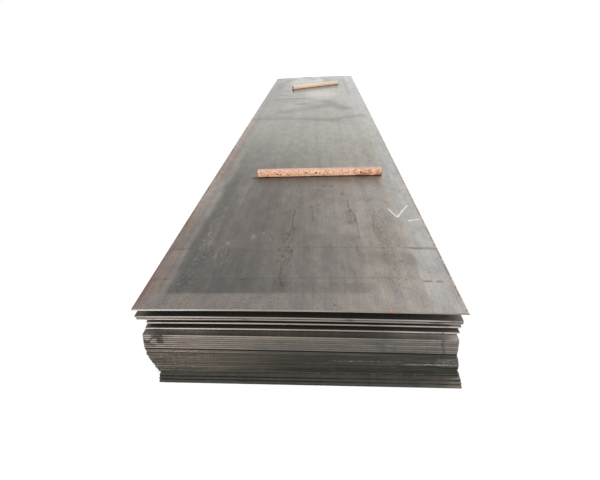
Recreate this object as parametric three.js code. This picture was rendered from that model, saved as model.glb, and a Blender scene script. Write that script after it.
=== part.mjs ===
// A stack of hot-rolled steel plates, cut to length from coil and piled flat, with timber between
// the upper plates and two loose battens left on top for the next lift.
//
// Millimetres, +Z up. The plates run along +Y and +X is to the right of someone who stands at their
// front end. The origin is the middle of the lowest plate's underside.

import * as THREE from 'three';

// ---------------------------------------------------------------------------------------------
// Driving dimensions
// ---------------------------------------------------------------------------------------------

// One plate, a standard stock size. Each lot below says how much wider or narrower its coil ran.
const PLATE_WIDTH = 1500;
const PLATE_LENGTH = 6000;
const PLATE_THICKNESS = 10;
const EDGE_EASE = 0.8; // the small bevel that the shear leaves along every cut edge

// Coil set: the ends of a plate cut from coil curl up, and its middle lies flat.
const SET_REACH = 1200; // how far in from each end the curl begins
const SET_FACETS = 6; // straight steps that draw the curl of one end

// Scale and dust hold two faces that rest on each other this far apart.
const SEAT = 0.3;

// Sawn timber. Spacers, laths and the loose battens are cut from stock of one width.
const TIMBER_WIDTH = 50;
const TIMBER_EASE = 2; // worn corner of the sawn section
const SPACER_HEIGHT = 50;
const LATH_HEIGHT = 24;
const SPACER_LENGTH = 1200;
const SPACER_MARGIN = 100; // from the start of the curl to the middle of a spacer

// The loose battens on top: length, height, and where the middle of each one lies. `across` counts
// from the plate's middle. `inward` counts from the line of the spacers that are nearer to the
// batten, towards the plate's middle, and `turn` is in degrees.
const LOOSE_HEIGHT = 50;
const NEAR_BATTEN = { length: 985, across: 108, inward: 65, turn: -0.1 };
const FAR_BATTEN = { length: 850, across: 42, inward: -277, turn: 22.4 };

// The pile, from the floor up. A lot is what one lift brought: its plates drift evenly from the
// place of the first to the place of the last. A place is that of the middle of a plate's front
// edge, counted from the lowest plate's in x and y, with the plate's turn in degrees. `over` is
// how much wider than PLATE_WIDTH a lot's plates are, `opening` is how far its curled ends stand
// off the plate beneath them, and `scatter` is how untidily its plates lie, to either side of
// their even drift. A layer of timber parts two lots.
const PILE = [
  { plates: 3, over: -12, first: [0, 0, 0.48], last: [-3, 24, 0.62], opening: 0, scatter: 1.5 },
  { plates: 4, over: 0, first: [-8, 42, 0.68], last: [-22, 50, 0.54], opening: 1.2, scatter: 1 },
  { plates: 8, over: 8, first: [-23, 53, 0.49], last: [-42, 64, 0.16], opening: 0.5, scatter: 1 },
  { plates: 2, over: -4, first: [-45, 68, 0.06], last: [-48, 70, 0.02], opening: 0, scatter: 0.5 },
  { plates: 7, over: -4, first: [-49, 73, 0], last: [-46, 97, 0], opening: 4, scatter: 1 },
  { plates: 1, over: 0, first: [-39, 130, 0.08], last: [-39, 130, 0.08], opening: 5, scatter: 0 },
  { timber: 'lath', height: LATH_HEIGHT },
  { plates: 1, over: 0, first: [-33, 145, 0], last: [-33, 145, 0], opening: 0, scatter: 0 },
  { timber: 'lower_spacer', height: SPACER_HEIGHT },
  { plates: 1, over: 0, first: [-49, 120, -0.02], last: [-49, 120, -0.02], opening: 0, scatter: 0 },
  { plates: 1, over: 0, first: [-53, 120, -0.1], last: [-53, 120, -0.1], opening: 5, scatter: 0 },
  { timber: 'upper_spacer', height: SPACER_HEIGHT },
  { plates: 1, over: 0, first: [-44, 117, 0], last: [-44, 117, 0], opening: 0, scatter: 0 },
];

// ---------------------------------------------------------------------------------------------
// Materials
// ---------------------------------------------------------------------------------------------

const STEEL = { color: 0x86827d, roughness: 0.48, metalness: 0.85 };
const TIMBER = { color: 0xd9a384, roughness: 0.9, metalness: 0 };

// ---------------------------------------------------------------------------------------------
// Solids
// ---------------------------------------------------------------------------------------------

// Turns a section drawn in (length, height) and extruded across into row axes: the drawing's x
// becomes +Y, its y becomes +Z and the extrusion becomes +X.
const SECTION_TO_ROW = new THREE.Matrix4().makeBasis(
  new THREE.Vector3(0, 1, 0),
  new THREE.Vector3(0, 0, 1),
  new THREE.Vector3(1, 0, 0),
);

/** Height of a plate's curl at a distance from its nearer end: a parabola that dies out flat. */
function curl(fromEnd, set) {
  const inside = Math.max(0, 1 - fromEnd / SET_REACH);
  return set * inside * inside;
}

/** Distances along the plate at which one of its faces changes slope, ends left out. */
function curlStations(set) {
  if (set === 0) {
    return [];
  }
  const nearEnd = [];
  for (let step = 1; step <= SET_FACETS; step += 1) {
    nearEnd.push((SET_REACH * step) / SET_FACETS);
  }
  const farEnd = nearEnd.map((y) => PLATE_LENGTH - y).reverse();
  return nearEnd.concat(farEnd);
}

/** Side outline of a plate, from its front end at 0, with eased corners and curled ends. */
function plateOutline(set) {
  const inner = curlStations(set);
  const lift = (y) => curl(Math.min(y, PLATE_LENGTH - y), set);
  const underside = inner.map((y) => new THREE.Vector2(y, lift(y)));
  const upper = inner.map((y) => new THREE.Vector2(y, lift(y) + PLATE_THICKNESS)).reverse();
  const end = lift(0);
  const bottom = end + EDGE_EASE;
  const top = end + PLATE_THICKNESS - EDGE_EASE;
  return new THREE.Shape([
    new THREE.Vector2(EDGE_EASE, end),
    ...underside,
    new THREE.Vector2(PLATE_LENGTH - EDGE_EASE, end),
    new THREE.Vector2(PLATE_LENGTH, bottom),
    new THREE.Vector2(PLATE_LENGTH, top),
    new THREE.Vector2(PLATE_LENGTH - EDGE_EASE, end + PLATE_THICKNESS),
    ...upper,
    new THREE.Vector2(EDGE_EASE, end + PLATE_THICKNESS),
    new THREE.Vector2(0, top),
    new THREE.Vector2(0, bottom),
  ]);
}

/** Extrudes an outline across `width`, centred on x = 0, with its long edges eased. */
function extrudeAcross(outline, width, ease) {
  const geometry = new THREE.ExtrudeGeometry(outline, {
    depth: width - 2 * ease,
    bevelEnabled: true,
    bevelThickness: ease,
    bevelSize: ease,
    bevelOffset: -ease,
    bevelSegments: 1,
    steps: 1,
  });
  geometry.translate(0, 0, ease - width / 2);
  return geometry.applyMatrix4(SECTION_TO_ROW);
}

/** A plate whose front edge is centred on the origin and whose flat middle lies on z = 0. */
function plateMesh(name, width, set) {
  const geometry = extrudeAcross(plateOutline(set), width, EDGE_EASE);
  const mesh = new THREE.Mesh(geometry, new THREE.MeshStandardMaterial(STEEL));
  mesh.name = name;
  return mesh;
}

/** A length of sawn timber along X, centred over the origin, that stands on z = 0. */
function timberMesh(name, length, height) {
  const half = TIMBER_WIDTH / 2;
  const section = new THREE.Shape([
    new THREE.Vector2(TIMBER_EASE - half, 0),
    new THREE.Vector2(half - TIMBER_EASE, 0),
    new THREE.Vector2(half, TIMBER_EASE),
    new THREE.Vector2(half, height - TIMBER_EASE),
    new THREE.Vector2(half - TIMBER_EASE, height),
    new THREE.Vector2(TIMBER_EASE - half, height),
    new THREE.Vector2(-half, height - TIMBER_EASE),
    new THREE.Vector2(-half, TIMBER_EASE),
  ]);
  const geometry = new THREE.ExtrudeGeometry(section, { depth: length, bevelEnabled: false });
  geometry.translate(0, 0, -length / 2);
  geometry.applyMatrix4(SECTION_TO_ROW);
  const mesh = new THREE.Mesh(geometry, new THREE.MeshStandardMaterial(TIMBER));
  mesh.name = name;
  return mesh;
}

// ---------------------------------------------------------------------------------------------
// Places
// ---------------------------------------------------------------------------------------------

/** A repeatable number from -1 to 1 for plate `index`, different for each `axis`. */
function scatterOf(index, axis) {
  return Math.sin(index * 12.9898 + axis * 4.1414);
}

/** Place of one plate of a lot: its front edge's middle and its turn in radians. */
function placeInLot(lot, step, index) {
  const share = lot.plates > 1 ? step / (lot.plates - 1) : 0;
  const [x, y, turn] = lot.first.map((value, axis) => value + (lot.last[axis] - value) * share);
  return {
    x: x + lot.scatter * scatterOf(index, 0),
    y: y + lot.scatter * scatterOf(index, 1),
    turn: THREE.MathUtils.degToRad(turn),
  };
}

/** Two-digit number for a name, so that names sort from the floor up. */
function twoDigits(number) {
  return String(number).padStart(2, '0');
}

// ---------------------------------------------------------------------------------------------
// The stack
// ---------------------------------------------------------------------------------------------

const stack = new THREE.Group();

// Everything is placed from the middle of the lowest plate's front edge.
const lowestTurn = THREE.MathUtils.degToRad(PILE[0].first[2]);
const frontEdge = new THREE.Group();
frontEdge.position.set(
  (PLATE_LENGTH / 2) * Math.sin(lowestTurn) - PILE[0].scatter * scatterOf(0, 0),
  (-PLATE_LENGTH / 2) * Math.cos(lowestTurn) - PILE[0].scatter * scatterOf(0, 1),
  0,
);
stack.add(frontEdge);

// The top plate's front edge is the line that the timber is set out from.
const [deckX, deckY] = PILE[PILE.length - 1].first;

// How far each line of spacers lies from that edge.
const SPACER_INSET = SET_REACH + SPACER_MARGIN;
const SPACER_LINES = { near: SPACER_INSET, far: PLATE_LENGTH - SPACER_INSET };

/** Lays a pair of equal timbers across the plates, one near each end. */
function layTimberPair(layer, level) {
  for (const [end, along] of Object.entries(SPACER_LINES)) {
    const timber = timberMesh(`${layer.timber}_${end}`, SPACER_LENGTH, layer.height);
    timber.position.set(deckX, deckY + along, level);
    frontEdge.add(timber);
  }
}

/** Lays one loose batten on the top plate, `along` from its front edge. */
function layLooseBatten(name, batten, along, level) {
  const mesh = timberMesh(name, batten.length, LOOSE_HEIGHT);
  mesh.position.set(deckX + batten.across, deckY + along, level);
  mesh.rotation.z = THREE.MathUtils.degToRad(batten.turn);
  frontEdge.add(mesh);
}

let level = 0; // underside of the next piece
let set = 0; // curl of the plates laid last
let laid = 0; // plates laid so far

for (const layer of PILE) {
  if (layer.timber) {
    layTimberPair(layer, level);
    level += layer.height + SEAT;
    set = 0;
    continue;
  }
  set += layer.opening;
  for (let step = 0; step < layer.plates; step += 1) {
    const place = placeInLot(layer, step, laid);
    const plate = plateMesh(`plate_${twoDigits(laid + 1)}`, PLATE_WIDTH + layer.over, set);
    plate.position.set(place.x, place.y, level);
    plate.rotation.z = place.turn;
    frontEdge.add(plate);
    level += PLATE_THICKNESS + SEAT;
    laid += 1;
  }
}

layLooseBatten('loose_batten_near', NEAR_BATTEN, SPACER_LINES.near + NEAR_BATTEN.inward, level);
layLooseBatten('loose_batten_far', FAR_BATTEN, SPACER_LINES.far - FAR_BATTEN.inward, level);

export default stack;
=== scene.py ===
"""Looks for a stack of hot-rolled steel plates with sawn timber between and on top of them.

Everything is in metres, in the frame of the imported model: +Z up, +Y along the plates and +X to the
right of someone who stands at their front end. Plates are named from the floor up.
"""

import logging
import math
import random
from dataclasses import dataclass, field
from enum import Enum
from functools import reduce
from typing import Any, Dict, List, Optional, Sequence, Tuple, Union

import bpy
from mathutils import Matrix, Vector
from mathutils.geometry import convex_hull_2d


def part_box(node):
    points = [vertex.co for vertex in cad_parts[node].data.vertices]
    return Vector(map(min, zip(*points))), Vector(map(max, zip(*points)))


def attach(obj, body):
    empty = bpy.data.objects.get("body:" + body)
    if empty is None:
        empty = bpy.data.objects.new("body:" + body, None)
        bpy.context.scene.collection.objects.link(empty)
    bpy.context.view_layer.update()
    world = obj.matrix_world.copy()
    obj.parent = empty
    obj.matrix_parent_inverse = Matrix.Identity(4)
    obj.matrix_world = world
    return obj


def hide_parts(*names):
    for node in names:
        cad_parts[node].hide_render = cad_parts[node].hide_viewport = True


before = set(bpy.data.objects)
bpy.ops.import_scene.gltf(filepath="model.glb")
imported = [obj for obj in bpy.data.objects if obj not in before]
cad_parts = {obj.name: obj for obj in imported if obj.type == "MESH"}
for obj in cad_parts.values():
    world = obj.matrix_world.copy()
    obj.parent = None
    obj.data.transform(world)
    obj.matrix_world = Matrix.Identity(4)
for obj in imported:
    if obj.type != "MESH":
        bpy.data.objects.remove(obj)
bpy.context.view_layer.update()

LOG = logging.getLogger("plate_stack")

Socket = bpy.types.NodeSocket
Sockets = Tuple[Socket, ...]
Value = Union[float, int, Sequence[float], Socket]
Inputs = Dict[Union[int, str], Any]
Material = bpy.types.Material
Range = Tuple[float, float]
Point = Tuple[float, float]
Triple = Tuple[float, float, float]
Colour = Triple
Shades = Tuple[int, int, int]

MM = 0.001
BODY = "root"
HALF_WIDTH = 0.75  # of a plate of the stock width
CROWN = 0.17 * MM  # how much thinner a plate is along its sides than along its middle
TINY = 1e-8  # square metres, below which a stroke counts as a dot
WHITE = (1.0, 1.0, 1.0)


class Slot(Enum):
    """Material slots of the record."""

    STEEL = "mill_scale_steel"
    TIMBER = "sawn_timber"


class Axis(Enum):
    """A node tree's names for one coordinate of a vector."""

    X = "X"
    Y = "Y"
    Z = "Z"


def srgb(red: int, green: int, blue: int) -> Colour:
    """Turn an 8-bit display colour into linear light.

    Args:
        red: Red from 0 to 255.
        green: Green from 0 to 255.
        blue: Blue from 0 to 255.

    Returns:
        The colour as three linear numbers.
    """

    def linear(level: int) -> float:
        """Linear light of one 8-bit channel."""
        share = level / 255.0
        return share / 12.92 if share <= 0.04045 else ((share + 0.055) / 1.055) ** 2.4

    return linear(red), linear(green), linear(blue)


def shaded(colour: Colour, factor: float) -> Colour:
    """A colour made lighter or darker by one factor."""
    return colour[0] * factor, colour[1] * factor, colour[2] * factor


# ----------------------------------------------------------------------------------------------
# Node trees
# ----------------------------------------------------------------------------------------------


class Graph:
    """Makes, fills and links the nodes of one shader or geometry tree."""

    def __init__(self, tree: bpy.types.NodeTree) -> None:
        """Start on an emptied tree.

        Args:
            tree: The tree that the nodes go into.
        """
        self.tree = tree
        self.split: Dict[Tuple[str, str], bpy.types.Node] = {}
        tree.nodes.clear()

    def node(self, kind: str, inputs: Optional[Inputs] = None, **settings: Any) -> bpy.types.Node:
        """Add a node.

        Args:
            kind: The node's type name.
            inputs: What its inputs are fed with, by their names or numbers.
            **settings: Properties to set on it before that.

        Returns:
            The new node.
        """
        made = self.tree.nodes.new(kind)
        for name, value in settings.items():
            setattr(made, name, value)
        for key, value in (inputs or {}).items():
            self.feed(made.inputs[key], value)
        return made

    def feed(self, socket: Socket, value: Any) -> None:
        """Link a socket to an input, or set the input to a value.

        Args:
            socket: The input to feed.
            value: A socket to link, or a value to set. A colour may leave out its alpha.
        """
        if isinstance(value, bpy.types.NodeSocket):
            self.tree.links.new(value, socket)
            return
        if socket.type == "RGBA" and len(value) == 3:
            value = (*value, 1.0)
        socket.default_value = value

    def math(self, operation: str, a: Value, b: Value = 0.0, clamp: bool = False) -> Socket:
        """Result of a Math node, kept from 0 to 1 if `clamp` is true."""
        return self.node("ShaderNodeMath", {0: a, 1: b}, operation=operation, use_clamp=clamp).outputs[0]

    def chain(self, operation: str, values: Sequence[Value]) -> Value:
        """Result of one operation run over several values, from the first to the last."""
        return reduce(lambda a, b: self.math(operation, a, b), values)

    def add(self, *values: Value) -> Value:
        """Sum of the values."""
        return self.chain("ADD", values)

    def product(self, *values: Value) -> Value:
        """All the values multiplied together."""
        return self.chain("MULTIPLY", values)

    def most(self, *values: Value) -> Value:
        """The highest of the values."""
        return self.chain("MAXIMUM", values)

    def least(self, *values: Value) -> Value:
        """The lowest of the values."""
        return self.chain("MINIMUM", values)

    def less(self, a: Value, b: Value) -> Socket:
        """The first value less the second."""
        return self.math("SUBTRACT", a, b)

    def ratio(self, a: Value, b: Value) -> Socket:
        """The first value divided by the second."""
        return self.math("DIVIDE", a, b)

    def above(self, a: Value, b: Value) -> Socket:
        """1 where the first value is above the second, 0 elsewhere."""
        return self.math("GREATER_THAN", a, b)

    def magnitude(self, value: Value) -> Socket:
        """A value without its sign."""
        return self.math("ABSOLUTE", value)

    def sign(self, value: Value) -> Socket:
        """1 or -1, as a value's sign is."""
        return self.math("SIGN", value)

    def vector(self, operation: str, a: Value, b: Value = (0.0, 0.0, 0.0)) -> Socket:
        """A Vector Math node's result.

        Args:
            operation: The node's operation.
            a: First vector.
            b: Second vector, or the scale where the operation is SCALE.

        Returns:
            The vector result, or the number for operations that give one.
        """
        second = "Scale" if operation == "SCALE" else 1
        made = self.node("ShaderNodeVectorMath", {0: a, second: b}, operation=operation)
        gives_number = operation in ("LENGTH", "DISTANCE", "DOT_PRODUCT")
        return made.outputs[1 if gives_number else 0]

    def shifted(self, place: Value, offset: Value) -> Socket:
        """A place with an offset added."""
        return self.vector("ADD", place, offset)

    def stretched(self, place: Value, x: float, y: float, z: float) -> Socket:
        """A place with each coordinate scaled, so that a pattern runs along an axis."""
        return self.vector("MULTIPLY", place, (x, y, z))

    def combine(self, x: Value, y: Value, z: Value) -> Socket:
        """A vector of three values."""
        return self.node("ShaderNodeCombineXYZ", {0: x, 1: y, 2: z}).outputs[0]

    def part(self, vector: Socket, axis: Axis) -> Socket:
        """One coordinate of a vector.

        Args:
            vector: The vector.
            axis: Which coordinate.

        Returns:
            The coordinate.
        """
        key = (vector.node.name, vector.identifier)
        if key not in self.split:
            self.split[key] = self.node("ShaderNodeSeparateXYZ", {0: vector})
        return self.split[key].outputs[axis.value]

    def parts(self, vector: Socket) -> Sockets:
        """All three coordinates of a vector."""
        return tuple(self.part(vector, axis) for axis in Axis)

    def ease(self, value: Value, low: float, high: float, to: Range = (0.0, 1.0)) -> Socket:
        """Map a value smoothly from one range to another, held at both ends.

        Args:
            value: What is mapped.
            low: Where the result starts. It may be above `high`.
            high: Where the result ends.
            to: The result at `low` and at `high`.

        Returns:
            The mapped value.
        """
        if low > high:
            low, high, to = high, low, (to[1], to[0])
        inputs = {"Value": value, "From Min": low, "From Max": high, "To Min": to[0], "To Max": to[1]}
        made = self.node("ShaderNodeMapRange", inputs, interpolation_type="SMOOTHSTEP", clamp=False)
        return made.outputs[0]

    def band(self, value: Value, middle: float, half: float, soft: float) -> Socket:
        """1 within `half` of `middle`, falling to 0 over a further `soft`."""
        return self.ease(self.magnitude(self.less(value, middle)), half + soft, half)

    def noise(self, place: Value, scale: float, detail: float = 3.0, rough: float = 0.5) -> Socket:
        """Noise from 0 to 1 in three dimensions.

        Args:
            place: Where the noise is read.
            scale: Lumps in a metre.
            detail: Octaves.
            rough: How strong the finer octaves are.

        Returns:
            The noise value.
        """
        inputs = {"Vector": place, "Scale": scale, "Detail": detail, "Roughness": rough}
        return self.node("ShaderNodeTexNoise", inputs).outputs[0]

    def grain(self, place: Value, lumps: Triple, detail: float = 3.0, rough: float = 0.5) -> Socket:
        """Noise with a number of lumps in a metre for each axis.

        Args:
            place: Where the noise is read.
            lumps: Lumps in a metre along x, y and z.
            detail: Octaves.
            rough: How strong the finer octaves are.

        Returns:
            The noise value.
        """
        return self.noise(self.stretched(place, *lumps), 1.0, detail, rough)

    def blend(self, share: Value, a: Value, b: Value, how: str = "MIX") -> Socket:
        """Mix two colours.

        Args:
            share: 0 gives the first colour, 1 the second.
            a: First colour.
            b: Second colour.
            how: The blend type.

        Returns:
            The mixed colour.
        """
        inputs = {0: share, 6: a, 7: b}
        made = self.node("ShaderNodeMix", inputs, data_type="RGBA", blend_type=how, clamp_factor=True)
        return made.outputs[2]


class ShaderGraph(Graph):
    """A material's tree, with its shader and its output."""

    def __init__(self, name: str) -> None:
        """Make a material and its Principled shader.

        Args:
            name: The material's name.
        """
        self.material = bpy.data.materials.new(name)
        self.material.use_nodes = True
        super().__init__(self.material.node_tree)
        self.shader = self.node("ShaderNodeBsdfPrincipled")
        self.node("ShaderNodeOutputMaterial", {"Surface": self.shader.outputs[0]})

    def dress(self, inputs: Inputs) -> Material:
        """Feed the shader's inputs and hand the material over.

        Args:
            inputs: A value or a socket for each input that isn't left as it is.

        Returns:
            The material.
        """
        for name, value in inputs.items():
            self.feed(self.shader.inputs[name], value)
        return self.material

    def place(self) -> Socket:
        """The object coordinates, which are the row frame on every piece."""
        return self.node("ShaderNodeTexCoord").outputs["Object"]

    def turned(self, place: Socket, pose: Matrix) -> Socket:
        """The same place seen from a piece's own axes.

        Args:
            place: A place in the row frame.
            pose: Where the piece's own axes are in the row frame.

        Returns:
            The place in the piece's own axes.
        """
        inverse = pose.inverted()
        inputs = {
            "Vector": place,
            "Location": inverse.to_translation(),
            "Rotation": inverse.to_euler("XYZ"),
        }
        return self.node("ShaderNodeMapping", inputs, vector_type="POINT").outputs[0]

    def drift(self, place: Value, scale: float, detail: float) -> Socket:
        """Noise in all three coordinates, about 0."""
        made = self.node("ShaderNodeTexNoise", {"Vector": place, "Scale": scale, "Detail": detail})
        return self.vector("SUBTRACT", made.outputs["Color"], (0.5, 0.5, 0.5))

    def patch(self, place: Socket, x: Range, y: Range, soft: Range, share: float) -> Socket:
        """A share inside a rectangle in plan, falling to 0 outside it.

        Args:
            place: A place whose x and y count.
            x: The rectangle's left and right.
            y: Its front and back.
            soft: How far the fall reaches in x and in y.
            share: The mask's value inside.

        Returns:
            The mask.
        """
        middle = ((x[0] + x[1]) / 2, (y[0] + y[1]) / 2, 0.0)
        half = ((x[1] - x[0]) / 2, (y[1] - y[0]) / 2)
        fall_inputs = {
            "Vector": self.vector("ABSOLUTE", self.vector("SUBTRACT", place, middle)),
            7: (half[0] - soft[0] / 2, half[1] - soft[1] / 2, 0.0),
            8: (half[0] + soft[0] / 2, half[1] + soft[1] / 2, 1.0),
            9: (0.0, 0.0, 0.0),
            10: (share, share, 0.0),
        }
        fall = self.node(
            "ShaderNodeMapRange", fall_inputs, data_type="FLOAT_VECTOR", interpolation_type="SMOOTHSTEP"
        )
        lost = self.vector("DOT_PRODUCT", fall.outputs["Vector"], (1.0, 1.0, 0.0))
        return self.most(self.less(share, lost), 0.0)

    def flattened(self, place: Socket) -> Socket:
        """A place's x and y, with no height."""
        return self.stretched(place, 1.0, 1.0, 0.0)

    def polyline(self, flat: Socket, points: Sequence[Point]) -> Value:
        """Distance in plan from a line of straight runs."""
        return self.least(*(self.stroke(flat, *run) for run in zip(points[:-1], points[1:])))

    def stroke(self, flat: Socket, start: Point, end: Point) -> Socket:
        """Distance in plan from a straight stroke.

        Args:
            flat: A place with no height.
            start: One end of the stroke.
            end: The other end.

        Returns:
            The distance in metres.
        """
        run = (end[0] - start[0], end[1] - start[1], 0.0)
        offset = self.vector("SUBTRACT", flat, (*start, 0.0))
        length_squared = run[0] ** 2 + run[1] ** 2
        if length_squared < TINY:
            return self.vector("LENGTH", offset)
        share = tuple(value / length_squared for value in run)
        along = self.least(self.most(self.vector("DOT_PRODUCT", offset, share), 0.0), 1.0)
        return self.vector("DISTANCE", offset, self.vector("SCALE", run, along))

    def bump(self, height: Socket, distance: float) -> None:
        """Give the shader a bump.

        Args:
            height: Relief from 0 to 1.
            distance: Depth in metres of a relief of 1.
        """
        made = self.node("ShaderNodeBump", {"Strength": 1.0, "Distance": distance, "Height": height})
        self.feed(self.shader.inputs["Normal"], made.outputs[0])


class ShapeGraph(Graph):
    """A geometry tree with named inputs, which ends in realized instances and a material."""

    def __init__(self, name: str) -> None:
        """Make an empty geometry tree.

        Args:
            name: The tree's name.
        """
        super().__init__(bpy.data.node_groups.new(name, "GeometryNodeTree"))
        self.tree.interface.new_socket("Shape", in_out="OUTPUT", socket_type="NodeSocketGeometry")
        self.inputs: Dict[str, str] = {}
        self.entry = self.node("NodeGroupInput")

    def take(self, *names: str, kind: str = "Float") -> Sockets:
        """Add named inputs.

        Args:
            *names: Their names.
            kind: What they carry.

        Returns:
            The sockets that carry them inside the tree.
        """
        for name in names:
            made = self.tree.interface.new_socket(name, in_out="INPUT", socket_type="NodeSocket" + kind)
            self.inputs[name] = made.identifier
        return tuple(self.entry.outputs[name] for name in names)

    def box(self, sizes: Sockets, counts: Sequence[Value]) -> Socket:
        """A box about the origin.

        Args:
            sizes: Its size along each axis.
            counts: Its vertices along each axis.

        Returns:
            The box.
        """
        inputs = {f"Vertices {axis.value}": count for axis, count in zip(Axis, counts)}
        return self.node("GeometryNodeMeshCube", {"Size": self.combine(*sizes), **inputs}).outputs[0]

    def position(self) -> Socket:
        """Where each vertex is."""
        return self.node("GeometryNodeInputPosition").outputs[0]

    def move(self, shape: Socket, place: Socket) -> Socket:
        """Put each vertex at a new place."""
        return self.node("GeometryNodeSetPosition", {"Geometry": shape, "Position": place}).outputs[0]

    def coat(self, shape: Socket, material: Socket, where: Union[Socket, bool] = True) -> Socket:
        """Give faces a material, all of them or those that `where` selects."""
        inputs = {"Geometry": shape, "Material": material, "Selection": where}
        return self.node("GeometryNodeSetMaterial", inputs).outputs[0]

    def realized(self, shape: Socket) -> Socket:
        """The geometry with its instances made real."""
        return self.node("GeometryNodeRealizeInstances", {0: shape}).outputs[0]

    def smooth(self, shape: Socket, sharp: float) -> Socket:
        """Shade all faces smooth, with edges kept sharp where they turn by more than an angle.

        Args:
            shape: The geometry.
            sharp: The angle in radians.

        Returns:
            The shaded geometry.
        """
        kind = "GeometryNodeSetShadeSmooth"
        faces = self.node(kind, {"Geometry": shape, "Shade Smooth": True}, domain="FACE").outputs[0]
        angle = self.node("GeometryNodeInputMeshEdgeAngle").outputs[0]
        inputs = {"Geometry": faces, "Selection": self.above(angle, sharp), "Shade Smooth": False}
        return self.node(kind, inputs, domain="EDGE").outputs[0]

    def end(self, shape: Socket) -> None:
        """Make the geometry the tree's result."""
        self.node("NodeGroupOutput", {0: shape})

    def make(self, name: str, values: Dict[str, Any], pose: Matrix) -> bpy.types.Object:
        """Run the tree and keep its result as a plain mesh.

        Args:
            name: The new object's name.
            values: A value for each named input.
            pose: Where the shape's own axes lie in the row frame.

        Returns:
            An object at the origin, with its place in its mesh.
        """
        seed = bpy.data.objects.new(name + "_seed", bpy.data.meshes.new(name + "_seed"))
        bpy.context.scene.collection.objects.link(seed)
        modifier = seed.modifiers.new("shape", "NODES")
        modifier.node_group = self.tree
        for label, value in values.items():
            modifier[self.inputs[label]] = value
        depsgraph = bpy.context.evaluated_depsgraph_get()
        mesh = bpy.data.meshes.new_from_object(
            seed.evaluated_get(depsgraph), preserve_all_data_layers=True, depsgraph=depsgraph
        )
        seed.modifiers.remove(modifier)
        bpy.data.objects.remove(seed)
        mesh.transform(pose)
        mesh.name = name
        made = bpy.data.objects.new(name, mesh)
        bpy.context.scene.collection.objects.link(made)
        return made


# ----------------------------------------------------------------------------------------------
# Places read from the frame
# ----------------------------------------------------------------------------------------------


Extents = Tuple[Vector, Range, Range]


@dataclass(frozen=True)
class Block:
    """A long rectangular node of the frame, measured on its own axes.

    Its pose has its origin under the middle of one end, its y along the block and its z up. The
    end is the front one of a plate and the left one of a timber that lies across the plates.
    """

    node: str
    width: float
    length: float
    thickness: float
    rise: float
    pose: Matrix

    @classmethod
    def measure(cls, node: str, gauge: Optional[float] = None) -> "Block":
        """Read a block's size and place from its mesh.

        Args:
            node: The node's name.
            gauge: The thickness of a block whose ends curl up, or None for a straight one.

        Returns:
            The block.
        """
        low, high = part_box(node)
        plan = [vertex.co.xy.copy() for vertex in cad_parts[node].data.vertices]
        hull = [plan[index] for index in convex_hull_2d(plan)]
        sides = [end - start for start, end in zip(hull, hull[1:] + hull[:1])]
        fits = [cls._extents(hull, side) for side in sides if side.length > MM]
        along, x, y = min(fits, key=lambda fit: (fit[1][1] - fit[1][0]) * (fit[2][1] - fit[2][0]))
        thickness = high.z - low.z if gauge is None else gauge
        rise = high.z - low.z - thickness
        turn = Matrix.Rotation(math.atan2(-along.x, along.y), 4, "Z")
        pose = turn @ Matrix.Translation(((x[0] + x[1]) / 2, y[0], low.z))
        return cls(node, x[1] - x[0], y[1] - y[0], thickness, rise, pose)

    @staticmethod
    def _extents(hull: Sequence[Vector], side: Vector) -> Extents:
        """Extents of a plan outline on axes that one of its sides gives.

        Args:
            hull: The outline.
            side: A run along one side.

        Returns:
            The direction of the longer extent, then the ranges of x and y on it.
        """
        along = side.normalized()
        found = []
        for direction in (along, Vector((-along.y, along.x))):
            forward = direction if direction.x + direction.y > 0 else -direction
            right = Vector((forward.y, -forward.x))
            x = [point.dot(right) for point in hull]
            y = [point.dot(forward) for point in hull]
            found.append((forward, (min(x), max(x)), (min(y), max(y))))
        return max(found, key=lambda fit: fit[2][1] - fit[2][0])


# ----------------------------------------------------------------------------------------------
# Finishes
# ----------------------------------------------------------------------------------------------


@dataclass(frozen=True)
class Patch:
    """A soft-edged area of a finish, on the plate's own axes.

    `x` counts from the plate's middle and `y` from its front edge. `soft` is how wide the edge of
    the area is in x and in y. `grain` breaks it up: 0 leaves it even, 10 leaves only flecks.
    """

    x: Range
    y: Range
    tone: Colour
    share: float
    soft: Range = (0.05, 0.08)
    grain: int = 0

    def span(self) -> Range:
        """How far along the plate it reaches."""
        return self.y[0] - self.soft[1] / 2, self.y[1] + self.soft[1] / 2

    def mask(self, graph: ShaderGraph, place: Socket) -> Socket:
        """The patch's share inside it, and 0 outside."""
        return graph.patch(place, self.x, self.y, self.soft, self.share)


@dataclass(frozen=True)
class Trail:
    """A line or a drawn-out blot of a finish, along straight runs on the plate's own axes."""

    points: Tuple[Point, ...]
    half: float
    soft: float
    tone: Colour
    share: float
    grain: int = 0

    def span(self) -> Range:
        """How far along the plate it reaches.

        Returns:
            Its lowest and highest y.
        """
        reach = self.half + self.soft
        along = [point[1] for point in self.points]
        return min(along) - reach, max(along) + reach

    def mask(self, graph: ShaderGraph, flat: Socket) -> Socket:
        """The trail's share on it, and 0 beside it."""
        away = graph.polyline(flat, self.points)
        return graph.ease(away, self.half + self.soft, self.half * 0.5, (0.0, self.share))


Mark = Union[Patch, Trail]


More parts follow.
